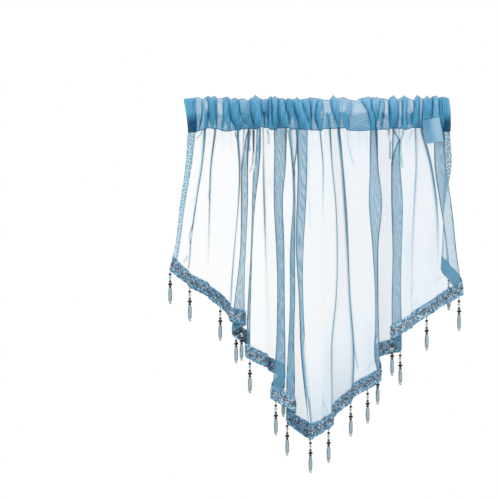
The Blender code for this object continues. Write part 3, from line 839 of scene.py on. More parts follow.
# The pocket's top edge: across and down
TOP_EDGE = (
    (-216, 3.4), (-212, 2.4), (-201, 1.6), (-195, 0.4), (-190, 1.6), (-185.6, 4.0), (-183, 1.6), (-180.8, 0),
    (-177.6, -1.3), (-174, -0.3), (-172.8, 0.8), (-169.6, -0.8), (-166.4, -1.6), (-164, 0.8), (-161.6, 2.4),
    (-153.6, 1.6), (-150.4, 0), (-147.2, -0.5), (-144, 1.1), (-140.8, 4.0), (-137.6, 2.4), (-133.6, 1.3),
    (-128.8, 4.0), (-124.8, 3.2), (-120, 2.1), (-116.8, 4.0), (-113.6, 5.9), (-111.2, 4.0), (-108.8, 1.0),
    (-105.6, 1.6), (-104, -1.6), (-101.6, -3.2), (-99.2, -1.1), (-96, 1.3), (-89.6, 4.0), (-81.6, 3.2),
    (-80, 0.8), (-76.8, -1.6), (-74.4, 1.6), (-72, -1.0), (-68.8, -0.8), (-65.6, 1.6), (-62.4, 2.4),
    (-57.6, 1.6), (-52.8, 4.8), (-50.4, 1.6), (-46.4, 2.7), (-41.6, 4.0), (-37.6, 2.4), (-35.2, -0.8),
    (-33.6, 2.4), (-28.8, 4.0), (-19.2, 2.4), (-14.4, 0.8), (-6.4, 1.6), (1.6, 2.7), (6.4, 4.0), (12.8, 4.8),
    (16.8, 4.8), (19.2, 1.6), (21.6, -1.6), (23.2, -3.2), (25.6, 0), (28.8, 1.6), (33.6, 2.1), (38.4, 0),
    (43.2, 1.6), (48, 4.0), (54.4, 5.3), (60.8, 6.4), (63.2, 3.2), (65.6, 2.1), (72, 1.6), (76.8, -0.3),
    (80, -0.8), (83.2, 1.6), (85.6, 0), (89.6, 1.3), (93.6, 0), (96, 2.7), (99.2, 1.9), (105.6, 2.4),
    (110.4, 4.8), (113.6, 0.8), (116.8, -0.8), (119.2, -3.2), (121.6, 0), (126.4, 4.0), (129.6, 1.6),
    (132.8, 0.8), (136.8, -2.7), (139.2, 0), (141.6, 0.8), (145.6, 3.2), (152, 4.8), (153.6, 0.8),
    (156.8, -3.2), (160, -1.6), (163.2, 1.6), (168, 2.7), (170.4, 0.8), (172.5, -2.9), (175.2, 0.8),
    (177.6, 2.4), (180.8, -0.3), (184.8, -2.1), (188.8, -1.6), (191.7, 1.6), (194.4, 0), (200, -0.3),
    (204.8, 1.1), (208.5, 2.7),
)
TOP_ACROSS, TOP_DOWN = np.array(TOP_EDGE, float).T
# The pocket's lower edge, a little scalloped by its gathers: across and down
LOW_EDGE = (
    (-210, 56.6), (-195, 56.5), (-194, 55), (-185.6, 53.6), (-177.6, 50), (-169.6, 51.2), (-161.6, 52),
    (-155, 54.4), (-148.8, 55.7), (-142.4, 55.2), (-136, 53.6), (-126.4, 54), (-124, 52), (-99, 52),
    (-96.5, 49), (-91, 48), (-88, 49.5), (-81.6, 50), (-78, 52.8), (-68.8, 52.8), (-66, 50), (-48, 50),
    (-46, 52.5), (-16, 52.5), (-12.8, 53.8), (4.8, 54.2), (7, 51.5), (17.6, 51.5), (30.4, 50.7), (42, 49.8),
    (44, 52.8), (49.6, 54.4), (66, 55), (81.6, 53.6), (91, 52.8), (104, 52.5), (112, 52.8), (115, 50.7),
    (125, 51), (133, 51.2), (137.6, 53.3), (147, 50.4), (154, 49.6), (163.2, 49.6), (166.4, 52), (180, 52),
    (195, 53), (196.5, 55.7), (210, 55.7),
)
LOW_ACROSS, LOW_DOWN = np.array(LOW_EDGE, float).T
# A pleat's shade and density change from their upper to their lower values from this depth on, over this run
SHADES_CHANGE_DOWN = 10.0
SHADES_CHANGE_RUN = 34.0
# Faint streaks in the tone: strength, wave across and two waves down, each divided by 2 pi
STREAKS = (0.05, 1.9, 9.0, 11.0)
# The pleats: how deep and round they are, how far their middles lean, and the fine wrinkles on them
POCKET_PLEAT_DEPTH = 8.5
PLEAT_ROUNDNESS = 2.2
PLEAT_LEAN = 0.12
WRINKLE_DEPTH = 1.1
WRINKLE_WAVE = 4.6
PLEAT_STEP = 0.47
PLEAT_LEAST_STEPS = 8
CREASE_WIDTH = 0.55
CREASE_DENSITY = 0.9
CREASE_DARK = 0.75
# Bands along the pocket: middle and height as shares of the pocket's, then the strength and the value of
# their tone and of their density. Two of them are uneven: how strong they are on the average, how much that
# changes along them, its wave divided by 2 pi and its shift per pleat.
Band = namedtuple("Band", "middle tall in_tone tone in_density density even change wave shift")
RUFFLE = Band(0.06, 0.04, 0.55, 0.85, 0.3, 0.0, 0.5, 0.6, 3.3, 1)
RUFFLE_SHADOW = Band(0.125, 0.018, 0.35, 0.0, 0.0, 0.0, 0.4, 0.8, 4.3, 2)
TOP_BAND = Band(0.0, 0.025, 0.7, 0.0, 1.0, 0.85, 1.0, 0.0, 1.0, 0)
SEAM_BAND = Band(1.03, 0.018, 0.85, 0.0, 1.0, 0.93, 1.0, 0.0, 1.0, 0)
# The pocket's ends are hemmed: darker and denser from a share of the height on
END_MIDDLE = 1.0
END_FROM_MIDDLE = 196.5
END_SOFT = 1.5
END_DARK_FROM = 0.45
END_DARK_RUN = 0.3
POCKET_END_TONE = 0.47
POCKET_END_DENSITY = (0.85, 0.97)
# Glitter: how strong its specks are, how they gather in the middle of a patch, and how thin the back is there
GLITTER_STRENGTH = 0.8
GLITTER_POWER = 1.8
GLITTER_THINS_BACK = 0.4
POCKET_MOIRE = 0.3
# The front lies flat behind the label: its middle and half its width across, and its top
UNDER_LABEL_MIDDLE = 181.0
UNDER_LABEL_HALF = 19.0
UNDER_LABEL_SOFT = 1.5
UNDER_LABEL_TOP = 30.0
UNDER_LABEL_FLATTER = 0.8
# The pocket's flat cloth: twice as long as it is wide, and the height of each row
CLOTH_PER_ACROSS = 2.0
CLOTH_PER_ROW = 0.007

# Places in the pocket with a look of their own, where light comes through, where the layers' weaves cross
# and glitter, or where a strand lies: left and right edges at some depths, then tone, density and glitter,
# unless these are like those of the low windows
Patch = namedtuple("Patch", "downs lefts rights tone density glitter", defaults=(0.62, 0.55, 1.0))
PATCHES = [Patch(*row) for row in (
    ((1, 6), (-200, -200), (-189, -188), 0.7, 0.55, 0.4),
    ((8, 22, 35), (-198, -195.5, -192.5), (-189, -188, -188.5), 0.66, 0.5, 0.3),
    ((38, 57), (-194.5, -194.5), (-192, -192.5), 0.75, 0.5, 0.3),
    ((27, 40, 57), (-186, -188.5, -190.5), (-184.5, -184, -184.5)),
    ((8, 14, 21), (-182, -182.5, -181.5), (-178.5, -177.5, -178.5), 0.8, 0.5, 0.2),
    ((27, 34), (-178.5, -177.5), (-175.5, -176.5), 0.15, 0.9, 0.0),
    ((34, 57), (-177, -179), (-176.5, -169.5)),
    ((36, 57), (-167, -170.5), (-166, -165)),
    ((1, 6), (-163, -163), (-154.5, -154), 0.8, 0.5, 0.3),
    ((10, 20, 29), (-162, -162, -161.5), (-155, -153.5, -154), 0.82, 0.42, 0.1),
    ((30, 57), (-162.5, -163), (-155, -156.5), 0.62, 0.5, 0.5),
    ((38, 57), (-150.5, -154.5), (-149.5, -141.5)),
    ((40, 57), (-146, -145.5), (-144.5, -144), 0.35, 0.85, 0.0),
    ((36, 57), (-141, -141.5), (-140.5, -134.5)),
    ((28, 40), (-124, -120.5), (-121.5, -118.5), 0.62, 0.55, 0.8),
    ((43, 57), (-118.5, -115.5), (-115, -112.5), 0.62, 0.55, 0.8),
    ((24, 34), (-91, -88.5), (-84.5, -86), 0.08, 0.95, 0.0),
    ((34, 39), (-86, -85), (-83, -82.5), 0.9, 0.35, 0.3),
    ((40, 57), (-87, -86), (-82.5, -82), 0.45, 0.75, 0.6),
    ((29, 57), (-43, -48), (-42, -35), 0.62, 0.55, 0.9),
    ((31, 57), (-11, -12), (-9.5, 0)),
    ((22, 34), (3, 4), (5, 6.5), 0.95, 0.3, 0.0),
    ((7, 24), (8, 7), (17.5, 19), 0.72, 0.45, 0.2),
    ((27, 57), (6.5, 5.5), (11, 9.5), 0.72, 0.5, 0.6),
    ((26, 38, 57), (11, 14, 16.5), (13.5, 17, 18.5), 0.3, 0.85, 0.0),
    ((27, 57), (19.5, 19.5), (20.5, 29.5)),
    ((11, 24), (32.5, 33), (36, 36.5), 0.7, 0.5, 0.1),
    ((11, 24), (38.5, 38), (42, 41.5), 0.85, 0.42, 0.1),
    ((26, 38, 57), (33, 41, 43.5), (44, 47.5, 48.5), 0.5, 0.85, 0.0),
    ((30, 57), (33.5, 34.5), (35, 42), 0.65, 0.55, 1.0),
    ((10, 25), (58, 52), (70, 76), 0.75, 0.44, 0.15),
    ((25, 57), (50.5, 49), (77, 81), 0.62, 0.52, 0.0),
    ((34, 57), (93, 91.5), (98, 99.5)),
    ((26, 34), (98.5, 100), (103, 103.5), 0.2, 0.9, 0.0),
    ((9, 29), (105, 105), (110, 110), 0.82, 0.42, 0.2),
    ((31, 57), (103.5, 102), (111, 112.5), 0.62, 0.55, 0.9),
    ((9, 30), (128, 128.5), (131.5, 131.5), 0.95, 0.5, 0.1),
    ((35, 57), (127, 126.5), (131.5, 132)),
    ((17, 28, 40), (141, 142, 140.5), (144, 143.5, 142), 0.88, 0.45, 0.2),
    ((5, 24), (145, 149), (150, 152), 0.9, 0.42, 0.2),
    ((44, 57), (141, 141), (149, 152), 0.7, 0.55, 1.0),
    ((8, 24, 35, 44), (161.5, 162, 160.5, 161), (164, 163.8, 162.5, 162.5), 0.9, 0.5, 0.2),
    ((31, 36), (172, 173.5), (173.5, 175), 0.95, 0.4, 0.0),
)]
# Lines across the widest window, where two layers of weave lie just out of step
RULED = Patch((25, 51), (51, 50), (77, 80), 0.0, 0.0, 0.0)
RULE_STEP = 2.6
RULE_LEAN = 0.02
RULE_TONE = 0.3

# The pocket's section, from the seam up the front to the top, and inside from low at the back up: proud,
# down and pleat shares. The back mirrors the front.
POCKET_FRONT = (
    (0.10, 1.04, 0.1),
    (0.40, 0.96, 0.3),
    (0.78, 0.84, 0.8),
    (0.97, 0.66, 1.0),
    (1.0, 0.50, 1.0),
    (1.0, 0.34, 1.0),
    (0.88, 0.18, 0.8),
    (0.60, 0.07, 0.5),
    (0.22, 0.01, 0.2),
    (0.0, 0.0, 0.1),
)
POCKET_BACK = tuple((-proud, down, -pleat) for proud, down, pleat in POCKET_FRONT[-2:0:-1])
POCKET_INSIDE = (
    (-0.12, 1.03, -0.1),
    (-0.28, 0.94, -0.2),
    (-0.62, 0.83, -0.6),
    (-0.80, 0.66, -0.8),
    (-0.84, 0.47, -0.8),
)
POCKET_WALK = POCKET_FRONT + POCKET_BACK + POCKET_INSIDE
WALK_TOP = len(POCKET_FRONT) - 1
FRONT_STEPS = 6
BACK_STEPS = 2


def pocket_walk():
    """The pocket's section, smoothed and closer together, most so in front."""
    table = np.array(POCKET_WALK)
    place = np.arange(len(table), dtype=float)
    front = np.linspace(0, WALK_TOP, WALK_TOP * FRONT_STEPS + 1)
    back = np.linspace(WALK_TOP, len(table) - 1, (len(table) - 1 - WALK_TOP) * BACK_STEPS + 1)
    at = np.concatenate([front, back[1:]])
    return np.stack([smooth_at(place, table[:, k], at) for k in range(3)], axis=-1), at


def pleat_columns():
    """Every column of the pocket: its pleat and the share of the way across it."""
    pleat, share = [], []
    for number, width in enumerate(np.diff(CREASE_ACROSS[:, 0])):
        count = max(PLEAT_LEAST_STEPS, round(width / PLEAT_STEP))
        pleat += [number] * count
        share += [k / count for k in range(count)]
    return np.array(pleat + [len(CREASE_ACROSS) - 2]), np.array(share + [1.0])


def pleat_value(table, p, column, low):
    """A pleat's value between its upper one, in a column of a table, and its lower one further on."""
    return toward(table[p, column], table[p, column + table.shape[1] // 2], low)


def lay_band(paint, band, p, across, down_share):
    strength = np.clip(band.even + band.change * np.sin(across / band.wave + band.shift * p), 0, 1)
    strength = strength * bell(down_share - band.middle, band.tall)
    paint.lay(band.in_tone * strength, tone=band.tone)
    paint.lay(band.in_density * strength, density=band.density)


def pocket_paint(p, s, left, right, across, down, down_share, proud_share):
    """The pocket's paint at each point."""
    low = np.clip((down - SHADES_CHANGE_DOWN) / SHADES_CHANGE_RUN, 0, 1)
    # Each pleat's tone runs from its left to its right shade, darker on one side as painted shading
    left_shade, right_shade = (pleat_value(CREASE_SHADES, p, side, low) for side in (0, 1))
    paint = Paint(pleat_value(CREASE_DENSITIES, p, 0, low), toward(left_shade, right_shade, s))
    strength, wave, slant, fade = STREAKS
    paint.add_tone(strength * np.sin(across / wave + 2 * p + down / slant) * np.sin(down / fade + p))
    glitter = np.zeros(across.shape)
    for patch in PATCHES:
        share = inside(patch, across, down)
        paint.lay(share, patch.density, patch.tone)
        glitter = toward(glitter, patch.glitter, share)
    rules = wave_of(down + RULE_LEAN * across, RULE_STEP)
    paint.add_tone(RULE_TONE * inside(RULED, across, down) * rules)

    for band in (RUFFLE, RUFFLE_SHADOW, TOP_BAND):
        lay_band(paint, band, p, across, down_share)
    left_line = pleat_value(CREASE_LINES, p, 0, low) * bell(across - left, CREASE_WIDTH)
    right_line = pleat_value(CREASE_LINES, p + 1, 0, low) * bell(right - across, CREASE_WIDTH)
    core = np.maximum(left_line, right_line)
    paint.lay(core, density=CREASE_DENSITY)
    paint.lay(CREASE_DARK * core, tone=0.0)
    near_end = np.clip((abs(across - END_MIDDLE) - END_FROM_MIDDLE) / END_SOFT, 0, 1)
    dark = np.clip((down_share - END_DARK_FROM) / END_DARK_RUN, 0, 1)
    paint.lay(near_end, toward(*POCKET_END_DENSITY, dark), POCKET_END_TONE * (1 - dark))
    glitter = glitter * (1 - near_end)
    lay_band(paint, SEAM_BAND, p, across, down_share)
    paint.lay(GLITTER_THINS_BACK * glitter * (proud_share < 0), density=0.0)
    values = paint.values()
    values["moire"] = np.full(across.shape, POCKET_MOIRE)
    values["speckle"] = GLITTER_STRENGTH * glitter**GLITTER_POWER
    return values


def heading():
    """The rod pocket: one gathered sheet, up the front, over the top, down the back and turned in."""
    walk, place = pocket_walk()
    pleat, share = pleat_columns()
    p, s = pleat[:, None], share[:, None]
    proud_share, down_share, pleat_share = (walk[None, :, k] for k in range(3))
    lines = np.array([smooth_at(CREASE_DOWN, crease, walk[:, 1] * POCKET_TALL) for crease in CREASE_ACROSS])
    left, right = lines[pleat], lines[pleat + 1]
    # The middles lean by an uneven pattern from pleat to pleat
    lean = PLEAT_LEAN * np.sin(7.3 * p + 1.0)
    across = toward(left, right, s + lean * s * (1 - s))
    bulge = 1 - abs(2 * s - 1) ** PLEAT_ROUNDNESS
    full = np.minimum(1.0, (lines[pleat + 1, 0] - lines[pleat, 0]) / FULL_PLEAT)[:, None]
    pleats = np.sign(proud_share) * (bulge - 0.5) * full * POCKET_PLEAT_DEPTH
    wrinkles = WRINKLE_DEPTH * wave_of(across, WRINKLE_WAVE, 3 * np.sin(down_share * 4 + p))
    top, low = np.interp(across, TOP_ACROSS, TOP_DOWN), np.interp(across, LOW_ACROSS, LOW_DOWN)
    down = top * (1 - down_share) + low / POCKET_WALK[0][1] * down_share
    beside_label = (abs(across - UNDER_LABEL_MIDDLE) - UNDER_LABEL_HALF) / UNDER_LABEL_SOFT
    under_label = soft_step(-beside_label) * soft_step(down - UNDER_LABEL_TOP) * (proud_share > 0)
    relief = (pleats + wrinkles) * abs(pleat_share) * (1 - UNDER_LABEL_FLATTER * under_label)
    mesh = grid_mesh("heading", placed(across, POCKET_HALF_DEPTH * proud_share + relief, down))
    painted = pocket_paint(p, s, left, right, across, down, down_share, proud_share)
    set_values(mesh, **painted, ply=np.broadcast_to(abs(2 * s - 1), across.shape))
    set_uv(mesh, across * MM * CLOTH_PER_ACROSS, np.broadcast_to(place * CLOTH_PER_ROW, across.shape))
    colours = ((0.005, 0.06, 0.135), (0.08, 0.325, 0.52), (0.35, 0.60, 0.77))
    made = shown("heading_cloth", mesh, voile_material("pocket_voile", colours, speck_scale=460.0))
    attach(made, "root")
    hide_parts("heading")
    return made


# The braid's section: down share of its height and how proud of the cloth, from its top to its middle in
# front, and the lower half alike, then the back
BRAID_UPPER_HALF = (
    (-0.50, 1.3), (-0.485, 2.0), (-0.45, 2.4), (-0.40, 2.3), (-0.35, 2.1), (-0.30, 2.3), (-0.25, 2.4),
    (-0.21, 2.2), (-0.18, 1.8), (-0.09, 1.7),
)
BRAID_LOWER_HALF = tuple((-height, off) for height, off in BRAID_UPPER_HALF[::-1])
BRAID_FRONT = BRAID_UPPER_HALF + ((0.0, 1.8),) + BRAID_LOWER_HALF
BRAID_BACK = ((0.5, 0.9), (0.25, 0.9), (-0.25, 0.9), (-0.5, 0.9))
BRAID_GROUND = range(7, 13)
BRAID_STEP = 1.2
BRAID_LEAST_STEPS = 14
# Crinkles of the braid's front: height, two waves along it, each divided by 2 pi, and their slant. Its ragged
# edges: wave along the braid, height and phase, which is shifted between the upper and the lower edge.
CRINKLE = (0.25, 1.9, 5.1, 9.0)
EDGE_RAGGED = ((5.3, 0.3, 0.2), (8.9, 0.35, 1.4), (3.1, 0.2, 2.9))
LOWER_EDGE_SHIFT = 2.1
# How light the braid is along its length, with painted shade: it is darkest at the point and where it turns
# away from the light
BRAID_TONE_AND_SHADE_ALONG = (0, 90, 140, 210, 300, 340, 370, 400, 440, 480, 520, 620, 680, 730, 775, 815, 912)
BRAID_TONE_AND_SHADE = (
    0.45, 0.41, 0.38, 0.43, 0.48, 0.58, 0.60, 0.36, 0.28, 0.55, 0.50, 0.49, 0.47, 0.55, 0.62, 0.45, 0.48,
)
# Painted shading: the upper border is darker, the lower one this much lighter
LOWER_BORDER_PAINTED_LIGHT = 0.03
# The grain turns with the cloth: how much of its depth goes into its place across
GRAIN_DEPTH_SHARE = 0.3
# Its grains and its crushed look, in metres and by how much they change the tone
BRAID_GRAIN_SCALE = 580.0
BRAID_GRAIN = 2.0
BRAID_CRUSH_SCALE = 150.0
BRAID_CRUSH = 0.8
BRAID_BUMP_DISTANCE = 0.0008
# From dark to light: the borders, the middle and the back
BORDER_COLOURS = ((0.015, 0.055, 0.11), (0.04, 0.145, 0.25), (0.11, 0.29, 0.43), (0.32, 0.50, 0.62))
GROUND_COLOURS = ((0.012, 0.04, 0.07), (0.045, 0.14, 0.22), (0.16, 0.28, 0.38), (0.46, 0.50, 0.60))
BACK_COLOURS = ((0.04, 0.17, 0.28), (0.07, 0.24, 0.38), (0.12, 0.32, 0.47))


def ragged(along, edge):
    """How far an edge of the braid strays from its line."""
    shift = LOWER_EDGE_SHIFT * edge
    return sum(height * wave_of(along, wave, phase + shift) for wave, height, phase in EDGE_RAGGED)


def trim():
    """The braid: two borders and a beaded middle, closed round its back."""
    fold, share, along = columns(BRAID_STEP, BRAID_LEAST_STEPS)
    section = np.array(BRAID_FRONT + BRAID_BACK)
    count = len(section)
    height, off = section[None, :, 0], section[None, :, 1]
    along = along[:, None] + np.zeros(count)
    stray = ragged(along, np.sign(height)) * (2 * abs(height)) ** 3
    upper = np.interp(along, UPPER_PLACES, UPPER_PULL) * (height < 0)
    lower = np.interp(along, LOWER_PLACES, LOWER_PULL) * (height > 0)
    down = braid_down(along) + height * BRAID_TALL + stray + (upper + lower) * (2 * height) ** 2
    fold, share = fold[:, None] + np.zeros(count, int), share[:, None] + np.zeros(count)
    across, proud = cloth_point(fold, share, down)
    out_across, out_proud = facing(fold, share, down)
    crinkle, wave, longer, slant = CRINKLE
    is_front = off > BRAID_BACK[0][1]
    off = off + crinkle * np.sin(along / wave + slant * height) * np.sin(along / longer) * is_front
    points = placed(across + off * out_across, proud + off * out_proud, down)
    mesh = grid_mesh("trim", points, closed_columns=True)
    set_uv(mesh, (across + GRAIN_DEPTH_SHARE * proud) * MM, down * MM)
    # Painted shade and light: the braid's tone along it, and its lower border a little lighter
    lighter = LOWER_BORDER_PAINTED_LIGHT * np.clip(2 * height, 0, 1)
    set_values(mesh, tone=np.interp(along, BRAID_TONE_AND_SHADE_ALONG, BRAID_TONE_AND_SHADE) + lighter)
    border_number, ground_number, back_number = range(3)
    per_face = [ground_number if k in BRAID_GROUND else border_number for k in range(len(BRAID_FRONT) - 1)]
    per_face += [back_number] * (count - len(per_face))
    surfaces = np.tile(per_face, (len(along) - 1, 1))
    surfaces[~np.isin(fold[:-1, :1], SMOOTH_BACKS) & (surfaces == back_number)] = border_number
    mesh.polygons.foreach_set("material_index", surfaces.ravel().astype(np.int32))
    border = braid_material("braid_border", BORDER_COLOURS, contrast=0.7)
    ground = braid_material("braid_ground", GROUND_COLOURS, contrast=1.0)
    back = braid_material("braid_back", BACK_COLOURS, contrast=0.25)
    made = shown("trim_braid", mesh, border, ground, back)
    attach(made, "root")
    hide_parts("trim")
    return made


def braid_material(name, colours, contrast, bump_by=0.8):
    """Crushed braid: fine grains of several colours, from dark to light, and a painted tone along it that
    carries painted shade and light.
    """
    made, tree, shader = nodes_of(name)
    place = place_of(tree, on_cloth=True)
    grains = cells_of(tree, place, BRAID_GRAIN_SCALE, voronoi_dimensions="2D")
    folds = noise_of(tree, place, BRAID_CRUSH_SCALE, noise_dimensions="2D", Detail=3.0)
    mixed = value_of(tree, "tone")
    for value, strength in ((grains, BRAID_GRAIN), (folds, BRAID_CRUSH)):
        mixed = calc(tree, "MULTIPLY_ADD", calc(tree, "SUBTRACT", value, 0.5), strength * contrast, mixed)
    bump = (mixed, bump_by, BRAID_BUMP_DISTANCE)
    surface(tree, shader, mixed, colours, bump, Roughness=0.5, Sheen_Weight=0.1)
    return made


def joined(name, parts, materials):
    """One mesh from many small ones: each part is points, faces and the number of its material."""
    points, faces, numbers, start = [], [], [], 0
    for part_points, part_faces, number in parts:
        points.append(part_points)
        faces += [tuple(start + k for k in face) for face in part_faces]
        numbers += [number] * len(part_faces)
        start += len(part_points)
    mesh = bpy.data.meshes.new(name)
    mesh.from_pydata(np.concatenate(points).tolist(), [], faces)
    mesh.polygons.foreach_set("material_index", np.array(numbers, np.int32))
    mesh.shade_smooth()
    for each in materials:
        mesh.materials.append(each)
    return mesh


def turned(profile, sides):
    """Points and faces of a profile (height, radius) turned about an upright axis."""
    angles = 2 * math.pi * np.arange(sides) / sides
    ring = np.stack([np.cos(angles), np.sin(angles)], axis=-1)
    points = [(r * x, r * y, z) for z, r in profile for x, y in ring]
    faces = []
    for k in range(len(profile) - 1):
        for side in range(sides):
            after = (side + 1) % sides
            a, b = k * sides + side, k * sides + after
            faces.append((a, a + sides, b + sides, b))
    return np.array(points), faces


def bead_profile(middle, half_tall, radius, hole=0.25, steps=6):
    """A bead's outline, from its top to its bottom: heights go down."""
    angles = np.linspace(math.asin(hole), math.pi - math.asin(hole), steps + 1)
    return [(-(middle - half_tall * math.cos(a)), radius * math.sin(a)) for a in angles]


# What is on a drop's thread: middle, half height, radius, sides, and the number of its material
Bead = namedtuple("Bead", "middle half_tall radius sides surface")
DROP_BEADS = [Bead(*row) for row in (
    (5.2, 2.1, 2.4, 12, 1),
    (8.2, 1.0, 1.3, 10, 2),
    (10.2, 1.9, 2.5, 10, 2),
    (13.6, 1.5, 1.3, 10, 2),
    (16.5, 1.8, 2.3, 12, 1),
    (20.9, 2.8, 3.6, 9, 3),
    (25.3, 1.7, 2.5, 12, 1),
    (50.5, 2.1, 2.3, 12, 5),
)]
BUGLE = (
    (27.0, 0.9), (27.2, 2.1), (28.2, 2.6), (32.0, 3.0), (42.0, 3.1), (47.0, 2.7), (48.2, 2.2), (48.5, 0.9),
)
BUGLE_SIDES = 14
BUGLE_SURFACE = 4
THREAD = ((1.6, 0.6), (-52.4, 0.6))
THREAD_SIDES = 6
THREAD_SURFACE = 0
DROP_COUNT = 19
GLINT_CONTRAST = 8.0
# The bugle's glass, with painted shade along two of its sides: how far out it is dark, in metres, and
# streaks drawn out along it
BUGLE_SHADE_REACH = 0.0032
BUGLE_STREAKS = (1.0, 1.0, 0.12)
BUGLE_STREAK_SCALE = 500.0
BUGLE_CONTRAST = 3.2


def drops():
    """The bead drops, each bead a turned piece of its own on one thread."""
    # A cut bead's last two numbers: the share of its facets that is painted bright as glints, and how fine
    # they are
    materials = (
        plain_material("thread", (0.04, 0.08, 0.10), (0.10, 0.17, 0.20), 0.7),
        glint_painted_material("dark_bead", (0.004, 0.006, 0.008), (0.13, 0.16, 0.18), 0.3, 600.0),
        glint_painted_material("crystal_bead", (0.04, 0.09, 0.10), (0.32, 0.42, 0.43), 0.55, 420.0),
        glint_painted_material("faceted_bead", (0.003, 0.003, 0.004), (0.60, 0.52, 0.58), 0.3, 380.0),
        bugle_material("bugle_bead"),
        glint_painted_material("end_bead", (0.02, 0.025, 0.03), (0.60, 0.62, 0.64), 0.5, 420.0),
    )
    parts = [(*turned(THREAD, THREAD_SIDES), THREAD_SURFACE)]
    for bead in DROP_BEADS:
        profile = bead_profile(bead.middle, bead.half_tall, bead.radius)
        parts.append((*turned(profile, bead.sides), bead.surface))
    parts.append((*turned([(-z, r) for z, r in BUGLE], BUGLE_SIDES), BUGLE_SURFACE))
    parts = [(points * MM, faces, number) for points, faces, number in parts]
    mesh = joined("drop_beads_01", parts, materials)
    made = []
    for number in range(1, DROP_COUNT + 1):
        name = f"drop_{number:02d}"
        piece = shown(f"drop_beads_{number:02d}", mesh)
        low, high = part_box(name)
        piece.location = ((low.x + high.x) / 2, (low.y + high.y) / 2, high.z)
        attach(piece, "root")
        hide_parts(name)
        made.append(piece)
    return made


def glint_painted_material(name, dark, bright, share, scale):
    """A cut bead with painted glints: a share of its facets is painted bright, standing in for reflected
    light, the others are dark.
    """
    made, tree, shader = nodes_of(name)
    facets = cells_of(tree, place_of(tree, on_cloth=False), scale)
    past = calc(tree, "SUBTRACT", facets, 1 - share)
    is_glint = limited(tree, calc(tree, "MULTIPLY_ADD", past, GLINT_CONTRAST, 0.5))
    surface(tree, shader, is_glint, (dark, bright), None, Roughness=0.2, Specular_IOR_Level=0.3)
    return made


def bugle_material(name):
    """A long glass bead with painted shade: darker along two of its sides, where it is seen through the thick
    of its glass.
    """
    made, tree, shader = nodes_of(name)
    place = place_of(tree, on_cloth=False)
    across = calc(tree, "ABSOLUTE", split_of(tree, place)[0])
    # Painted shade towards two sides of the bead, and a lighter middle
    side = calc(tree, "POWER", calc(tree, "MULTIPLY", across, 1 / BUGLE_SHADE_REACH), 2.0)
    streaks = noise_of(tree, scaled(tree, place, BUGLE_STREAKS), BUGLE_STREAK_SCALE)
    share = calc(tree, "MULTIPLY_ADD", calc(tree, "SUBTRACT", streaks, 0.45), BUGLE_CONTRAST, side)
    surface(tree, shader, share, ((0.28, 0.38, 0.425), (0.025, 0.07, 0.09)), None, Alpha=0.88, Roughness=0.12)
    return made


# Two strings of sequins and small beads cross each other along the braid's middle
STRING_STEP = 1.55
STRING_WAVE = 8.4
STRING_SWING = 2.7
STRING_STRAY = 0.7
STRING_ENDS = (1.5, 1.0)
SEQUIN_OFF = 2.2
SEQUIN_OFF_STRAY = (-0.2, 0.3)
SEQUIN_TILT = 0.3
# A cupped sequin's profile and a small bead's, and their sides. Every third piece is a bead.
SEQUIN = (((0.0, 0.15), (0.05, 0.7), (0.4, 1.0)), 8)
SMALL_BEAD = (bead_profile(-0.2, 0.8, 0.8, 0.1, 4), 6)
BEAD_EVERY = 3
UP = np.array((0.0, 0.0, 1.0))
# Up to a place along the braid, the share of each surface: silver, rose, teal, dark, brown, blue
SURFACE_SHARES = (
    (200, (0.19, 0.05, 0.20, 0.15, 0.03, 0.38)),
    (390, (0.28, 0.07, 0.20, 0.20, 0.04, 0.21)),
    (455, (0.10, 0.05, 0.15, 0.24, 0.03, 0.43)),
    (912, (0.28, 0.07, 0.20, 0.20, 0.04, 0.21)),
)
# Each surface: name, dark and light colour, metallic and coat
SEQUIN_SURFACES = (
    ("sequin_silver", (0.32, 0.37, 0.42), (0.58, 0.62, 0.68), 0.1, 0.1),
    ("sequin_rose", (0.20, 0.17, 0.24), (0.42, 0.38, 0.48), 0.1, 0.1),
    ("sequin_teal", (0.03, 0.14, 0.16), (0.20, 0.40, 0.42), 0.1, 0.1),
    ("sequin_dark", (0.008, 0.018, 0.030), (0.04, 0.09, 0.13), 0.0, 0.0),
    ("bead_brown", (0.03, 0.025, 0.03), (0.13, 0.10, 0.12), 0.0, 0.0),
    ("bead_blue", (0.05, 0.16, 0.28), (0.18, 0.36, 0.50), 0.0, 0.1),
)


def tilted(normal, tilt):
    """Three axes at right angles, the last near a normal and tilted a little."""
    normal = normal + tilt[0] * np.cross(UP, normal) + tilt[1] * UP
    normal /= np.linalg.norm(normal)
    side = np.cross(UP, normal)
    side /= np.linalg.norm(side)
    return np.stack([side, np.cross(normal, side), normal], axis=0)


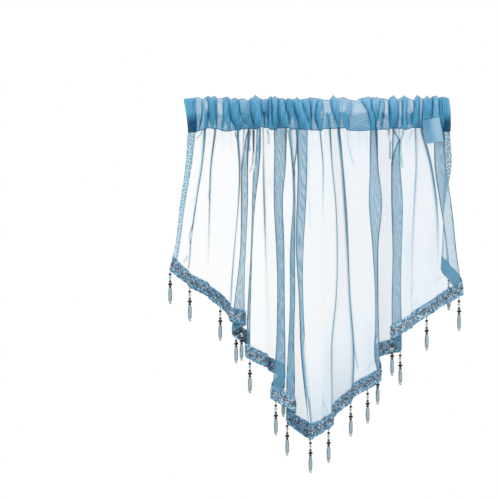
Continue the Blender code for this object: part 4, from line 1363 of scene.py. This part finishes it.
def sequins():
    """Cupped sequins and small beads in two waving strings."""
    random = np.random.default_rng(7)
    parts = []
    for string in (1, -1):
        place = np.arange(STRING_ENDS[0], FOLD_ALONG[-1] - STRING_ENDS[1], STRING_STEP)
        swing = string * STRING_SWING * wave_of(place, STRING_WAVE)
        fold, share = column_at(place)
        down = braid_down(place) + swing + random.normal(0, STRING_STRAY, len(place))
        across, proud = cloth_point(fold, share, down)
        out_across, out_proud = facing(fold, share, down)
        off = SEQUIN_OFF + random.uniform(*SEQUIN_OFF_STRAY, len(place))
        centres = placed(across + off * out_across, proud + off * out_proud, down)
        normals = np.stack([out_across, -out_proud, np.zeros(len(place))], axis=-1)
        for number, (centre, normal) in enumerate(zip(centres, normals)):
            axes = tilted(normal, random.normal(0, SEQUIN_TILT, 2))
            points, faces = turned(*(SEQUIN if number % BEAD_EVERY else SMALL_BEAD))
            shares = next(shares for end, shares in SURFACE_SHARES if place[number] < end)
            surface_number = int(random.choice(len(shares), p=shares))
            parts.append((points * MM @ axes + centre, faces, surface_number))
    materials = [
        plain_material(name, low, high, 0.35, metallic=metallic, grain=900.0, coat=coat, bump_by=0.1)
        for name, low, high, metallic, coat in SEQUIN_SURFACES
    ]
    made = shown("sequins", joined("sequins", parts, materials))
    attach(made, "root")
    return made


# The label's corners from its top left round by its right, and how proud it is
LABEL_CORNERS = ((163.8, 38.5), (191.0, 33.0), (198.0, 71.5), (168.3, 76.0))
LABEL_PROUD = 16.0
LABEL_CURL = 0.8
LABEL_POINTS = (31, 41)
LABEL_THICK = 0.4
# It has a soft crease from top to bottom. Its tone is painted shade and light: how dark it is at its left,
# and how much lighter at its right
LABEL_CREASE = 0.30
LABEL_CREASE_DEPTH = 0.6
LABEL_SHADED_TONE = 0.26
LABEL_PAINTED_LIGHT = 0.62
LABEL_COLOURS = ((0.06, 0.21, 0.355), (0.25, 0.42, 0.545))


def label():
    """A blank tab of tape, sewn on along its top and a little curled."""
    s, t = np.linspace(0, 1, LABEL_POINTS[0])[:, None], np.linspace(0, 1, LABEL_POINTS[1])[None, :]
    across, down = (toward(toward(a, d, t), toward(b, c, t), s) for a, b, c, d in zip(*LABEL_CORNERS))
    beside = s - LABEL_CREASE
    relief = LABEL_CURL * np.sin(math.pi * s) - LABEL_CREASE_DEPTH * bell(beside - 0.12 * t, 0.10)
    mesh = grid_mesh("label", placed(across, LABEL_PROUD + relief * t, down))
    set_uv(mesh, across * MM, down * MM)
    stitches = bell(t - 0.05, 0.02) * (np.sin(across * 3.1) > 0)
    # It is painted lighter beyond the crease, and darker with painted shade along the crease and at its top
    # left. It is a little darker towards its lower right, and darker at its stitches
    tone = LABEL_SHADED_TONE + LABEL_PAINTED_LIGHT * np.clip((beside - 0.1 * t) / 0.35, 0, 1) - 0.15 * s * t
    tone = tone - 0.3 * stitches - 0.35 * bell(beside + 0.15 * t, 0.09) * bell(t - 0.25, 0.3)
    tone = tone - 0.5 * np.clip(1.2 - 1.6 * s, 0, 1) * bell(t, 0.32)
    set_values(mesh, tone=tone)
    made = shown("label_tab", mesh, braid_material("label_tape", LABEL_COLOURS, contrast=0.05, bump_by=0.3))
    solid = made.modifiers.new("Thickness", "SOLIDIFY")
    solid.thickness = LABEL_THICK * MM
    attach(made, "root")
    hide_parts("label")
    return made


def camera():
    made = bpy.data.cameras.new("camera")
    made.sensor_width = SENSOR
    made.lens = SENSOR * CAMERA_AWAY / VIEW_WIDE
    made.clip_end = 50.0
    placed_camera = bpy.data.objects.new("camera", made)
    placed_camera.location = (VIEW_ACROSS, -CAMERA_AWAY, VIEW_UP)
    placed_camera.rotation_euler = (math.pi / 2, 0, 0)
    bpy.context.scene.collection.objects.link(placed_camera)
    bpy.context.scene.camera = placed_camera


# The studio, in metres: where its lights aim, each light's name, place, size and power, and the floor
LIGHTS_AIM = (-0.01, 0.0, -0.28)
LIGHTS = (
    ("key", (-1.4, -2.2, 1.0), 1.2, 26.0),
    ("fill", (1.8, -1.6, 0.1), 1.4, 8.0),
    ("back", (0.6, 1.8, 1.2), 1.4, 14.0),
)
FLOOR_RADIUS = 1.3
FLOOR_UP = -0.85
FLOOR_SIDES = 64
# The most layers of sheer cloth that light passes through
MOST_LAYERS = 48


def area_light(name, place, size, power):
    made = bpy.data.lights.new(name, "AREA")
    made.shape = "DISK"
    made.size = size
    made.energy = power
    light = bpy.data.objects.new(name, made)
    light.location = place
    direction = Vector(LIGHTS_AIM) - Vector(place)
    light.rotation_euler = direction.to_track_quat("-Z", "Y").to_euler()
    bpy.context.scene.collection.objects.link(light)


def studio():
    """White surroundings, three soft lights and a pale floor below the valance."""
    world = bpy.data.worlds.new("studio")
    world.use_nodes = True
    background = world.node_tree.nodes["Background"]
    background.inputs["Color"].default_value = (1.0, 1.0, 1.0, 1.0)
    background.inputs["Strength"].default_value = 1.0
    scene = bpy.context.scene
    scene.world = world
    for light in LIGHTS:
        area_light(*light)
    scene.view_settings.view_transform = "Standard"
    scene.cycles.transparent_max_bounces = MOST_LAYERS
    angles = 2 * math.pi * np.arange(FLOOR_SIDES) / FLOOR_SIDES
    mesh = bpy.data.meshes.new("floor")
    rim = [(FLOOR_RADIUS * math.cos(a), FLOOR_RADIUS * math.sin(a), FLOOR_UP) for a in angles]
    mesh.from_pydata(rim, [], [tuple(range(FLOOR_SIDES))])
    pale = plain_material("pale_floor", (0.80, 0.80, 0.79), (0.86, 0.86, 0.85), 0.8, grain=6.0)
    floor = shown("floor", mesh, pale)


def main():
    camera()
    studio()
    panel = skirt()
    pocket = heading()
    braid = trim()
    chain = sequins()
    tab = label()
    beads = drops()


main()
